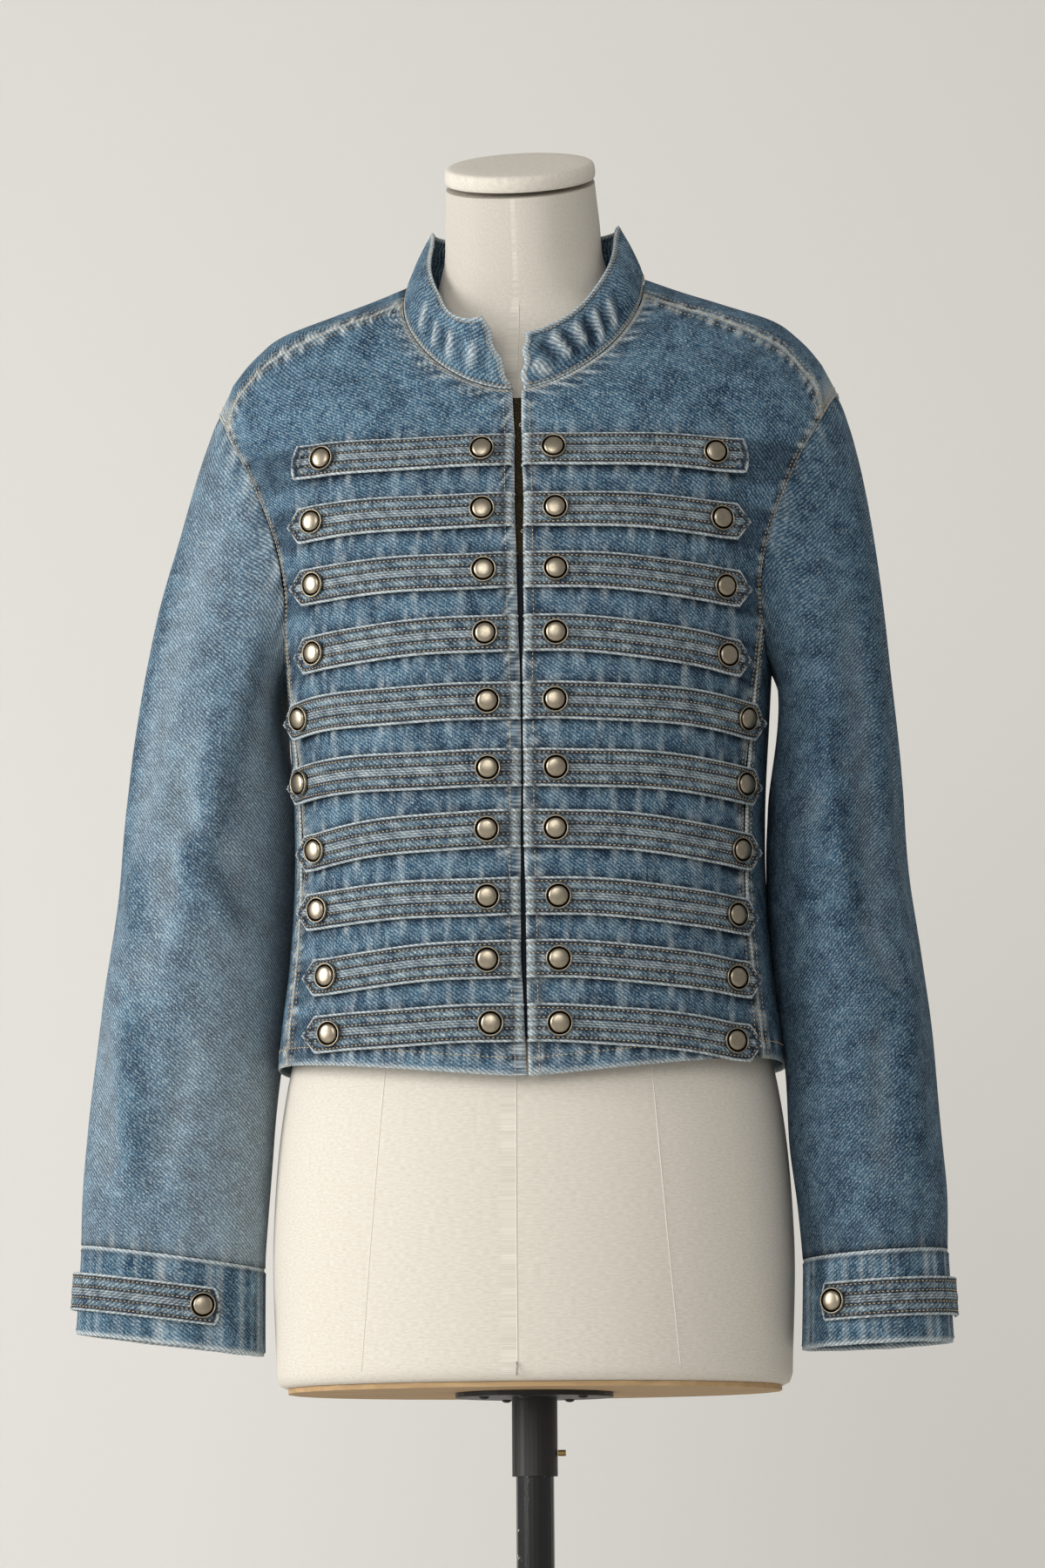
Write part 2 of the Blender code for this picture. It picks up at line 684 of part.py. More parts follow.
def build_form():
    skin("form_torso", [form_ring(row, 32) for row in FORM], linen())
    foot_ring = (FORM_BOTTOM, *FORM[0][1:])
    top_ring = (FORM_BOTTOM + BOARD_THICKNESS - SEAM_GAP, *FORM[0][1:])
    skin("form_board", [form_ring(foot_ring, 32, -BOARD_INSET),
                        form_ring(top_ring, 32, -BOARD_INSET)], wood())
    build_cap()


def build_cap():
    """Covered neck cap: a low rounded disc that follows the neck's tilt."""
    slope = math.radians(CAP_TILT)
    cx, cy, cz = CAP_MIDDLE
    rings = []
    for scale, height in ((1.0, 0.0), (1.015, 0.0022), (1.01, CAP_HEIGHT * 0.6),
                          (0.97, CAP_HEIGHT * 0.92), (0.88, CAP_HEIGHT)):
        half = CAP_HALF_WIDTH * scale
        depth = half - CAP_INSET
        line = []
        for k in range(28):
            a = 2 * math.pi * k / 28 - math.pi / 2
            reach = depth * math.sin(a)
            line.append((cx + half * math.cos(a),
                         cy + reach * math.cos(slope) - height * math.sin(slope),
                         cz + reach * math.sin(slope) + height * math.cos(slope)))
        rings.append(line)
    skin("form_cap", rings, linen())


def build_stand():
    top = FORM_BOTTOM - SEAM_GAP
    under = top - FLANGE_THICKNESS
    low = under - SOCKET_LENGTH
    bore = POLE_RADIUS + SEAM_GAP
    socket = ((SOCKET_RADIUS, low), (SOCKET_RADIUS, under), (FLANGE_RADIUS, under),
              (FLANGE_RADIUS, top), (bore, top), (bore, low))
    turned("stand_socket", socket, 32, black_metal(), ring=True)
    pole_bottom = FOOT_THICKNESS + SEAM_GAP
    turned("stand_pole", ((POLE_RADIUS, pole_bottom), (POLE_RADIUS, under - 0.004)), 24, black_metal())
    turned("stand_foot", ((FOOT_RADIUS - 0.001, 0.0), (FOOT_RADIUS, 0.001), (FOOT_RADIUS, 0.008),
                          (FOOT_RADIUS - 0.004, 0.0115), (0.060, FOOT_THICKNESS - 0.0005),
                          (0.040, FOOT_THICKNESS)), 48, black_metal())
    screw = turned("stand_set_screw", ((0.0020, 0.0), (0.0020, 0.0050)), 12,
                   material("screw_brass", (0.45, 0.33, 0.16), 0.35, 1.0))
    for vertex in screw.data.vertices:
        x, y, z = vertex.co
        vertex.co = (SOCKET_RADIUS + SEAM_GAP + z, -y, low + 0.015 + x)


for old in list(bpy.data.objects):
    bpy.data.objects.remove(old, do_unlink=True)
build_fronts()
build_back()
build_tabs()
build_sleeves()
build_collar()
build_form()
build_stand()
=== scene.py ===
"""A cropped denim jacket with ten rows of buttoned tabs, dressed on a linen dress form on a stand."""
import bpy
import bmesh
import math
import numpy as np
from mathutils import Matrix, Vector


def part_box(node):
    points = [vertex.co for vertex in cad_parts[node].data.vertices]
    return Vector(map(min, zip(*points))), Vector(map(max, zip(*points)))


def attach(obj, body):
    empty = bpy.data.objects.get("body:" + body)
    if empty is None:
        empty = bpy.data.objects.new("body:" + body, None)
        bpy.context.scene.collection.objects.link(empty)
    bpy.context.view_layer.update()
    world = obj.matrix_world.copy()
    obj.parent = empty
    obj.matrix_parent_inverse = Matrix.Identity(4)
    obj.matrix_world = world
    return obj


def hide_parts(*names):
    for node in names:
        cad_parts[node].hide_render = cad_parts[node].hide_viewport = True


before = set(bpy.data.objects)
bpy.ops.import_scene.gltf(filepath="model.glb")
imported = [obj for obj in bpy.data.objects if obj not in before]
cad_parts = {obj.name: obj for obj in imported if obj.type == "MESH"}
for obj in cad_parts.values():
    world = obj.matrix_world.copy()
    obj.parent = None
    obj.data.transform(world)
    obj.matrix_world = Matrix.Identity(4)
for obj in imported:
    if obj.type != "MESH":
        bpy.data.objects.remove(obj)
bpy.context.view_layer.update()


# ---------------------------------------------------------------------------------------------
# Camera, light and backdrop
# A long lens below the form's base looks slightly up at the jacket; a big soft light stands on
# the left, a weaker one in front, and pale paper behind returns a little of both.
FORM_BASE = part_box("form_board")[0][2]
camera_data = bpy.data.cameras.new("camera")
camera_data.lens = 100.6
camera_data.clip_end = 30
camera = bpy.data.objects.new("camera", camera_data)
bpy.context.scene.collection.objects.link(camera)
bpy.context.scene.camera = camera
CAMERA_DISTANCE = 2.9
CAMERA_SIDE = math.radians(5.5)
CAMERA_AIM = math.radians(5.6)
camera.matrix_world = (
    Matrix.Translation((CAMERA_DISTANCE * math.sin(CAMERA_SIDE),
                        -CAMERA_DISTANCE * math.cos(CAMERA_SIDE), FORM_BASE - 0.116))
    @ Matrix.Rotation(CAMERA_AIM, 4, "Z")
    @ Matrix.Rotation(math.radians(90 + 10.2), 4, "X")
    @ Matrix.Rotation(math.radians(-0.4), 4, "Z")
)


def linear(hex_colour):
    """Linear RGBA of an sRGB hex colour."""
    parts = [int(hex_colour[i:i + 2], 16) / 255 for i in (1, 3, 5)]
    return [c / 12.92 if c <= 0.04045 else ((c + 0.055) / 1.055) ** 2.4 for c in parts] + [1.0]


def soft_light(name, size, place, target, power, colour):
    """A square studio softbox aimed at a point."""
    data = bpy.data.lights.new(name, "AREA")
    data.shape = "RECTANGLE"
    data.size, data.size_y = size
    data.energy = power
    data.color = linear(colour)[:3]
    light = bpy.data.objects.new(name, data)
    bpy.context.scene.collection.objects.link(light)
    light.location = place
    aim = np.array(target) - np.array(place)
    light.rotation_euler = (math.acos(-aim[2] / np.linalg.norm(aim)), 0,
                            math.atan2(aim[1], aim[0]) - math.pi / 2)
    return light


soft_light("key_softbox", (1.0, 1.8), (-2.7, -1.35, 1.55), (0, 0, 1.15), 66, "#FFFEFC")
soft_light("front_fill", (1.8, 1.8), (-0.6, -3.6, 1.9), (0, 0, 1.1), 42, "#FFFEFC")
bpy.context.scene.view_settings.view_transform = "Standard"
world = bpy.data.worlds.new("studio_air")
bpy.context.scene.world = world
world.use_nodes = True
world.node_tree.nodes["Background"].inputs["Color"].default_value = linear("#F1F0EE")
world.node_tree.nodes["Background"].inputs["Strength"].default_value = 0.45


def feed(tree, node, inputs):
    """Feed a node's inputs with values or other nodes' outputs."""
    for key, value in inputs.items():
        if isinstance(value, bpy.types.NodeSocket):
            tree.links.new(value, node.inputs[key])
        else:
            node.inputs[key].default_value = value


def add(tree, kind, inputs=None, **settings):
    """Add a node, set it and feed it."""
    made = tree.nodes.new(kind)
    for key, value in settings.items():
        setattr(made, key, value)
    feed(tree, made, inputs or {})
    return made


def maths(tree, operation, *values, clamp=False):
    """Output of a math node."""
    return add(tree, "ShaderNodeMath", dict(enumerate(values)), operation=operation,
               use_clamp=clamp).outputs[0]


def noise(tree, place, scale, detail, roughness=0.5):
    """Output of a noise texture."""
    return add(tree, "ShaderNodeTexNoise", {"Vector": place, "Scale": scale, "Detail": detail,
                                            "Roughness": roughness}).outputs["Fac"]


def remap(tree, value, low, high, to_low=0.0, to_high=1.0):
    """A value's range stretched over another range and held there."""
    return add(tree, "ShaderNodeMapRange", {"Value": value, "From Min": low, "From Max": high,
                                            "To Min": to_low, "To Max": to_high}).outputs[0]


def blend(tree, share, low, high):
    """Colour between two hex colours or other nodes' outputs."""
    low, high = (linear(colour) if isinstance(colour, str) else colour for colour in (low, high))
    return add(tree, "ShaderNodeMix", {0: share, 6: low, 7: high}, data_type="RGBA").outputs[2]


def bump_of(tree, height, distance, strength=1.0):
    """Normal roughened by a height."""
    return add(tree, "ShaderNodeBump", {"Height": height, "Distance": distance,
                                        "Strength": strength}).outputs["Normal"]


def solid_place(tree):
    return add(tree, "ShaderNodeTexCoord").outputs["Object"]


def new_material(name):
    """An empty material and its node tree and shader."""
    made = bpy.data.materials.new(name)
    made.use_nodes = True
    return made, made.node_tree, made.node_tree.nodes["Principled BSDF"]


def mottled(name, low, high, scale, detail, roughness, metallic=0.0):
    """A material that drifts between two colours."""
    made, tree, shader = new_material(name)
    share = noise(tree, solid_place(tree), scale, detail)
    feed(tree, shader, {"Base Color": blend(tree, share, low, high), "Roughness": roughness,
                        "Metallic": metallic})
    return made


def put(name, mesh, material):
    """Give a mesh its material and stand it in the scene as a smooth piece of the root body."""
    mesh.materials.append(material)
    mesh.shade_smooth()
    made = bpy.data.objects.new(name, mesh)
    bpy.context.scene.collection.objects.link(made)
    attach(made, "root")
    return made


# Seamless background paper: matte pulp, one plain pale tone, swept from wall to floor.
paper, tree, shader = new_material("matte_background_paper")
shader.inputs["Base Color"].default_value = linear("#E9E7E3")
shader.inputs["Roughness"].default_value = 0.95
sweep = [(y, 0.0) for y in (-4.5, 1.2)]
sweep += [(1.2 + 0.6 * math.sin(a), 0.6 - 0.6 * math.cos(a)) for a in np.linspace(0.1, math.pi / 2, 14)]
sweep += [(1.8, 4.5)]
points = [(x, y, z - 0.0005) for y, z in sweep for x in (-4.5, 4.5)]
faces = [(2 * i, 2 * i + 1, 2 * i + 3, 2 * i + 2) for i in range(len(sweep) - 1)]
mesh = bpy.data.meshes.new("paper_sweep")
mesh.from_pydata(points, [], faces)
mesh.materials.append(paper)
mesh.shade_smooth()
backdrop = bpy.data.objects.new("paper_sweep", mesh)
bpy.context.scene.collection.objects.link(backdrop)


# ---------------------------------------------------------------------------------------------
# The body of the jacket: fronts and back
# Indigo cotton twill, cut in three pieces, felled together, then stone-washed so that the seams
# rope and their ridges go pale. The pieces hang from the form's shoulders, open at the front.
PLY = 0.0015
HEM_FRONT = 0.915
HEM_RISE = 0.018
HEM_SEAM_ANGLE = 66.0
ARMHOLE_ANGLE, ARMHOLE_HALF_ANGLE = 90.5, 22.5
ARMHOLE_HEIGHT, ARMHOLE_HALF_HEIGHT = 1.294, 0.093
ARMHOLE_SQUARENESS = 2.6
NECK_HALF_WIDTH = 0.082
NECK_FRONT = 1.374
NECK_SQUARENESS = 1.75
# Body sections: height, half width, front depth, back depth, squareness
BODY = np.array([
    (0.905, 0.1685, 0.119, 0.118, 2.35),
    (0.950, 0.1670, 0.121, 0.116, 2.35),
    (1.000, 0.1610, 0.123, 0.111, 2.35),
    (1.050, 0.1575, 0.126, 0.109, 2.35),
    (1.100, 0.1575, 0.130, 0.113, 2.35),
    (1.160, 0.1610, 0.134, 0.120, 2.35),
    (1.220, 0.1660, 0.133, 0.126, 2.30),
    (1.280, 0.1780, 0.126, 0.127, 2.25),
    (1.330, 0.1960, 0.112, 0.123, 2.20),
    (1.370, 0.2110, 0.095, 0.114, 2.10),
    (1.390, 0.2120, 0.084, 0.106, 2.05),
    (1.410, 0.2010, 0.071, 0.096, 2.00),
    (1.428, 0.1860, 0.058, 0.085, 2.00),
    (1.440, 0.1710, 0.048, 0.076, 2.00),
    (1.452, 0.1400, 0.037, 0.066, 2.00),
    (1.464, 0.1070, 0.027, 0.056, 2.00),
    (1.475, 0.0800, 0.018, 0.047, 2.00),
])
# Shoulder seam: distance from the centre, height
SHOULDER_SEAM = ((0.082, 1.457), (0.107, 1.4445), (0.137, 1.4335), (0.161, 1.423), (0.177, 1.4135),
                 (0.190, 1.397))
# Closing edges: height, distance of the right front's edge from the middle, and the left's
CLOSURE = np.array([
    (0.900, -0.0082, 0.0098), (0.920, -0.0078, 0.0096), (0.957, -0.0064, 0.0090),
    (0.994, -0.0048, 0.0089), (1.031, -0.0052, 0.0089), (1.076, -0.0058, 0.0080),
    (1.113, -0.0068, 0.0086), (1.160, -0.0069, 0.0088), (1.186, -0.0064, 0.0088),
    (1.208, -0.0055, 0.0100), (1.255, -0.0044, 0.0094), (1.296, -0.0027, 0.0092),
    (1.338, -0.0018, 0.0068), (1.374, 0.0012, 0.0054),
])
# Tab rows, top to bottom: height at the closing edge, then height at the outer button and x of
# the end for the wearer's right front, and the same for the left front
TABS = (
    (1.3270, 1.3300, -0.1495, 1.3268, 0.1545),
    (1.2842, 1.2877, -0.1550, 1.2823, 0.1570),
    (1.2428, 1.2454, -0.1535, 1.2375, 0.1580),
    (1.2005, 1.1994, -0.1530, 1.1919, 0.1585),
    (1.1562, 1.1590, -0.1640, 1.1532, 0.1690),
    (1.1130, 1.1167, -0.1640, 1.1100, 0.1670),
    (1.0740, 1.0696, -0.1530, 1.0661, 0.1640),
    (1.0305, 1.0298, -0.1510, 1.0224, 0.1610),
    (0.9902, 0.9853, -0.1450, 0.9808, 0.1610),
    (0.9492, 0.9476, -0.1430, 0.9397, 0.1600),
)
TAB_WIDTH = 0.0250
EDGE_SETBACK = -0.0002    # negative, so the cloth's edge lies a little nearer the middle
TAB_START = 0.0002        # from the closing edge's table to a tab's rolled end
FREE_END = 0.0235         # from the outer button to the point
# Steps along shared borders, of which each piece takes a whole multiple
FRONT_FINE, BACK_FINE = 12, 7
ARM_STEPS = 24
SIDE_STEPS, SHOULDER_STEPS, NECK_STEPS, NAPE_STEPS = 10, 7, 6, 4
SHOULDER_END, UNDERARM, SCOOP_END = 3 / ARM_STEPS, 9 / ARM_STEPS, 14 / ARM_STEPS


def section_value(column, height):
    """Smooth value of a body section's column at each height."""
    heights, values = BODY[:, 0], BODY[:, column]
    slopes = np.gradient(values, heights)
    height = np.clip(height, heights[0], heights[-1])
    i = np.clip(np.searchsorted(heights, height) - 1, 0, len(heights) - 2)
    step = heights[i + 1] - heights[i]
    t = (height - heights[i]) / step
    rise = 3 * t ** 2 - 2 * t ** 3
    return (values[i] * (1 - rise) + values[i + 1] * rise
            + step * (slopes[i] * (t ** 3 - 2 * t ** 2 + t) + slopes[i + 1] * (t ** 3 - t ** 2)))


def on_body(line):
    """Points of the jacket's outer face at (angle, height) pairs; angle 0 is centre front."""
    line = np.asarray(line, float)
    s, c = np.sin(np.radians(line[..., 0])), np.cos(np.radians(line[..., 0]))
    half, front, back, square = (section_value(k, line[..., 1]) for k in (1, 2, 3, 4))
    depth = np.where(c > 0, front, back)
    return np.stack((half * np.sign(s) * np.abs(s) ** (2 / square),
                     -depth * np.sign(c) * np.abs(c) ** (2 / square), line[..., 1]), axis=-1)


def angle_at(x, height):
    """Angle on the body's front whose point lies at x."""
    ratio = np.minimum(np.abs(x) / section_value(1, height), 1)
    return np.degrees(np.arcsin(ratio ** (section_value(4, height) / 2))) * np.where(x < 0, -1, 1)


def hem_height(angle):
    return HEM_FRONT + HEM_RISE * np.sin(np.radians(np.minimum(angle, 90)))


def armhole(t):
    """Armhole loop in (angle, height): t 0 top, 0.25 front, 0.5 underarm, 0.75 back."""
    c, s = np.cos(2 * np.pi * np.asarray(t)), np.sin(2 * np.pi * np.asarray(t))
    power = 2 / ARMHOLE_SQUARENESS
    return np.stack((ARMHOLE_ANGLE - ARMHOLE_HALF_ANGLE * np.sign(s) * np.abs(s) ** power,
                     ARMHOLE_HEIGHT + ARMHOLE_HALF_HEIGHT * np.sign(c) * np.abs(c) ** power), axis=-1)


def armhole_run(start, end, fine):
    return armhole(np.linspace(start, end, round(abs(end - start) * ARM_STEPS * fine) + 1))


def even(line, steps):
    """The same border in a number of even steps."""
    line = np.array(line, float)
    moved = np.linalg.norm(np.diff(line * (0.0028, 1.0), axis=0), axis=1)
    length = np.concatenate(([0], np.cumsum(moved)))
    at = np.linspace(0, length[-1], steps + 1)
    return np.stack([np.interp(at, length, line[:, k]) for k in (0, 1)], axis=1)


def shoulder_line():
    line = [(float(angle_at(x, z)), z) for x, z in SHOULDER_SEAM]
    return line + [tuple(armhole(SHOULDER_END))]


def neck_front(side):
    """Front neckline from the closing edge to the shoulder seam."""
    start = float(np.interp(NECK_FRONT, CLOSURE[:, 0], CLOSURE[:, 1 if side < 0 else 2]))
    top = SHOULDER_SEAM[0][1]
    x = start + (NECK_HALF_WIDTH - start) * np.sin(np.linspace(0, np.pi / 2, 49))
    ratio = np.clip(np.abs(x) / NECK_HALF_WIDTH, 0, 1)
    z = top - (top - NECK_FRONT) * (1 - ratio ** NECK_SQUARENESS) ** (1 / NECK_SQUARENESS)
    return np.stack((angle_at(x, z), z), axis=-1)


def height_at(x, angle):
    """Height on top of the shoulder where the point at an angle lies at x."""
    low, high = 1.392, 1.475
    for _ in range(40):
        middle = (low + high) / 2
        low, high = (middle, high) if on_body((angle, middle))[0] > x else (low, middle)
    return middle


def neck_back():
    """Neckline from the shoulder seam, over the ridge of the shoulder, to centre back."""
    start = shoulder_line()[0][0]
    side = [(a, height_at(NECK_HALF_WIDTH, a)) for a in np.linspace(start, 90, 9)]
    return side + [(a, side[-1][1]) for a in np.linspace(100, 180, 9)]


def side_line():
    """Side seam from the hem to the underarm."""
    end, t = armhole(UNDERARM), np.linspace(0, 1, 24)
    start = (HEM_SEAM_ANGLE, float(hem_height(HEM_SEAM_ANGLE)))
    return np.stack((start[0] + (end[0] - start[0]) * t ** 1.6, start[1] + (end[1] - start[1]) * t), 1)


def closing_line(side):
    """Closing edge, shifted by its setback below the neckline."""
    z = np.concatenate((np.linspace(HEM_FRONT, NECK_FRONT - 0.006, 30), [NECK_FRONT]))
    x = np.interp(z, CLOSURE[:, 0], CLOSURE[:, 1 if side < 0 else 2])
    x += EDGE_SETBACK * (z < NECK_FRONT - 0.001)
    return np.stack((angle_at(x, z), z), axis=-1)


def mirror(line):
    return np.asarray(line) * (-1, 1) + (360, 0)


def patch(left, right, bottom, top):
    """Fill four matching borders of (angle, height)."""
    v = np.linspace(0, 1, len(left))[:, None, None]
    u = np.linspace(0, 1, len(bottom))[None, :, None]
    return ((1 - v) * bottom[None] + v * top[None] + (1 - u) * left[:, None] + u * right[:, None]
            - (1 - u) * (1 - v) * bottom[0] - u * (1 - v) * bottom[-1]
            - (1 - u) * v * top[0] - u * v * top[-1])


def normals_of(points, loop=False):
    """Outward directions of a grid whose rows climb and whose columns run anticlockwise."""
    if loop:
        across = np.roll(points, -1, axis=1) - np.roll(points, 1, axis=1)
    else:
        across = np.gradient(points, axis=1)
    normal = np.cross(across, np.gradient(points, axis=0))
    return normal / np.maximum(np.linalg.norm(normal, axis=-1, keepdims=True), 1e-12)


REFERENCE = np.linspace(0, 360, 361)
AROUND = np.concatenate(([0], np.cumsum(np.linalg.norm(np.diff(
    on_body(np.stack((REFERENCE, np.full(361, 1.16)), -1)), axis=0), axis=1))))
UPWARD_Z = np.linspace(0.90, 1.475, 300)
UPWARD = np.cumsum(np.hypot(np.gradient(UPWARD_Z), np.gradient(section_value(2, UPWARD_Z))))


def cloth_uv(grid, side=1):
    """Place on the flat cloth, in metres, of (angle, height) pairs."""
    return np.stack((np.interp(grid[..., 0], REFERENCE, AROUND) * side,
                     np.interp(grid[..., 1], UPWARD_Z, UPWARD)), axis=-1)


def run_length(points, axis):
    """Distance walked along a grid's rows (axis 1) or columns (axis 0)."""
    steps = np.linalg.norm(np.diff(points, axis=axis), axis=-1)
    zero = np.zeros_like(np.take(steps, [0], axis=axis))
    return np.concatenate((zero, np.cumsum(steps, axis=axis)), axis=axis)


def from_borders(points):
    """Distances of a grid's points from its left, low, right and high borders."""
    left, low = run_length(points, 1), run_length(points, 0)
    return left, low, left[:, -1:] - left, low[-1:] - low


def bell(distance, at, width):
    """1 at a distance, falling softly to 0 on both sides."""
    return np.exp(-((distance - at) / width) ** 2)


def nearer(distance, at, softness):
    """1 nearer than a distance, falling to 0 beyond it."""
    return 1 / (1 + np.exp((distance - at) / softness))


def creases(x, z, table):
    """Sum of soft troughs (negative) and ridges, each from one end to the other and fading there."""
    total = np.zeros(np.broadcast(x, z).shape)
    for x0, z0, x1, z1, width, depth in table:
        run = np.array((x1 - x0, z1 - z0))
        along = ((x - x0) * run[0] + (z - z0) * run[1]) / (run @ run)
        beside = ((x - x0) * run[1] - (z - z0) * run[0]) / np.sqrt(run @ run)
        fade = np.clip(np.minimum(along, 1 - along) * 3 + 0.15, 0, 1)
        fade = fade * fade * (3 - 2 * fade)
        total += depth * fade * bell(beside, 0, width)
    return total


def ripple(s, seed, lengths=(0.0085, 0.0127, 0.0061, 0.021)):
    """Uneven roping along a seam, about -1 to 1, from a few sines that never line up."""
    total = np.zeros_like(s)
    for k, length in enumerate(lengths):
        total += np.sin(2 * np.pi * s / length + 1.7 * seed + 2.1 * k
                        + 1.3 * np.sin(2 * np.pi * s / (length * 5.3) + seed)) * (0.5, 0.35, 0.2, 0.3)[k]
    return total


def seam_relief(borders):
    """Height, wear and staining of roped seams from the distance, run, turning and seed of each."""
    rope, wear_and_painted_light, dark = 0, 0, 0
    for away, along, turn, seed in borders:
        near = bell(away, turn, 0.0045)
        wave = ripple(along, seed)
        rope = rope + near * wave * 0.0006
        wear_and_painted_light = wear_and_painted_light + (near * np.clip(wave, 0, 1) * 0.9 + 1.1 * np.exp(-away / 0.0013))
        dark = dark + near * np.clip(0.2 - wave, 0, 1) * 0.8
    return rope, wear_and_painted_light, dark


def cloth_object(name, blocks, thickness, material, loop=False, flip=False):
    """One cloth wall from grids of (points, uv, worn, dark); its thickness goes inwards."""
    points, faces, uvs, wear_and_painted_light, dark = [], [], [], [], []
    first = 0
    for p, uv, w, d in blocks:
        rows, columns = p.shape[:2]
        index = first + np.arange(rows * columns).reshape(rows, columns)
        right = np.roll(index, -1, axis=1) if loop else index[:, 1:]
        left = index if loop else index[:, :-1]
        quads = np.stack((left[:-1], right[:-1], right[1:], left[1:]), axis=-1).reshape(-1, 4)
        corner_uv = uv.reshape(-1, 2)[quads - first]
        if loop:
            girth = uv[:, -1, 0].max() + uv[0, 1, 0]
            wrap = corner_uv[:, 1, 0] < corner_uv[:, 0, 0] - girth / 2
            corner_uv[wrap, 1, 0] += girth
            corner_uv[wrap, 2, 0] += girth
        if flip:
            quads, corner_uv = quads[:, ::-1], corner_uv[:, ::-1]
        points.append(p.reshape(-1, 3))
        faces.append(quads)
        uvs.append(corner_uv.reshape(-1, 2))
        wear_and_painted_light.append(np.broadcast_to(w, (rows, columns)).ravel())
        dark.append(np.broadcast_to(d, (rows, columns)).ravel())
        first += rows * columns
    mesh = bpy.data.meshes.new(name)
    mesh.from_pydata(np.concatenate(points).tolist(), [], np.concatenate(faces).tolist())
    layer = mesh.uv_layers.new(name="cloth")
    layer.data.foreach_set("uv", np.concatenate(uvs).ravel())
    for label, values in (("wear_and_painted_light", wear_and_painted_light), ("dark", dark)):
        held = mesh.attributes.new(label, "FLOAT", "POINT")
        held.data.foreach_set("value", np.clip(np.concatenate(values), 0, 1))
    mesh.materials.append(material)
    if len(blocks) > 1:
        joined = bmesh.new()
        joined.from_mesh(mesh)
        bmesh.ops.remove_doubles(joined, verts=joined.verts, dist=0.00003)
        joined.to_mesh(mesh)
        joined.free()
    mesh.shade_smooth()
    made = bpy.data.objects.new(name, mesh)
    bpy.context.scene.collection.objects.link(made)
    if thickness:
        solid = made.modifiers.new("cloth thickness", "SOLIDIFY")
        solid.thickness = thickness
        solid.offset = -1
    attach(made, "root")
    return made


def washed_denim(name, deep, middle, pale, twill_mm, twill_lift):
    """Stone-washed indigo twill: slanting ridges of blue warp over white weft, clouded by the
    wash, bleached where the wash abraded seams and folds, and still dark in their hollows;
    its pale and dark attributes also carry painted light and painted shade."""
    made, tree, shader = new_material(name)
    place = add(tree, "ShaderNodeUVMap", uv_map="cloth").outputs["UV"]
    turned = add(tree, "ShaderNodeMapping", {"Vector": place, "Rotation": (0, 0, math.radians(-52))})
    across = add(tree, "ShaderNodeSeparateXYZ", {"Vector": turned.outputs["Vector"]}).outputs["X"]
    turns = maths(tree, "MULTIPLY", across, 2000 * math.pi / twill_mm)
    shaken = maths(tree, "MULTIPLY_ADD", noise(tree, place, 420.0, 2.0), 6.0, turns)
    twill = remap(tree, maths(tree, "SINE", shaken), -0.6, 1.0)
    # Clouds of the wash, 8 to 40 mm, uneven warp yarns that run down the cloth, and slub under 1 mm.
    cloud = noise(tree, solid_place(tree), 62.0, 6.0, 0.72)
    slub = noise(tree, place, 760.0, 3.0, 0.8)
    warp = add(tree, "ShaderNodeMapping", {"Vector": place, "Scale": (820.0, 210.0, 1.0)})
    streak = noise(tree, warp.outputs["Vector"], 1.0, 3.0, 0.7)
    wear_and_painted_light, dark = (add(tree, "ShaderNodeAttribute", attribute_name=label).outputs["Fac"]
                  for label in ("wear_and_painted_light", "dark"))
    ground = blend(tree, remap(tree, cloud, 0.36, 0.66), deep, middle)
    speckle = maths(tree, "MULTIPLY_ADD", slub, 3.0, -1.52)
    clouded = maths(tree, "MULTIPLY_ADD", cloud, 0.9, -0.52)
    streaked = maths(tree, "MULTIPLY_ADD", streak, 1.9, -0.95)
    bare = maths(tree, "ADD", maths(tree, "ADD", speckle, clouded), streaked)
    weft = maths(tree, "MULTIPLY_ADD", twill, 0.50, bare, clamp=True)
    woven = blend(tree, weft, ground, pale)
    grain = maths(tree, "MULTIPLY_ADD", twill, 0.65, slub)
    # The pale attribute whitens real wear and painted light; the dark attribute holds the wash's dark and
    # painted shade.
    rubbed_and_painted_light = blend(tree, maths(tree, "MULTIPLY", grain, wear_and_painted_light, clamp=True), woven, "#D6DEDF")
    stained_and_painted_shade = blend(tree, maths(tree, "MULTIPLY", dark, 0.90, clamp=True), rubbed_and_painted_light, "#101F31")
    height = maths(tree, "MULTIPLY_ADD", slub, 0.8, twill)
    feed(tree, shader, {"Base Color": stained_and_painted_shade, "Normal": bump_of(tree, height, twill_lift),
                        "Roughness": remap(tree, slub, 0.0, 1.0, 0.78, 0.95),
                        "Specular IOR Level": 0.2})
    return made


# The real twill line is 1.3 mm; 2.1 mm is the finest that still shows.
denim = washed_denim("stone_washed_indigo_twill", "#12344F", "#35627F", "#AFC2C9", 2.1, 0.00034)

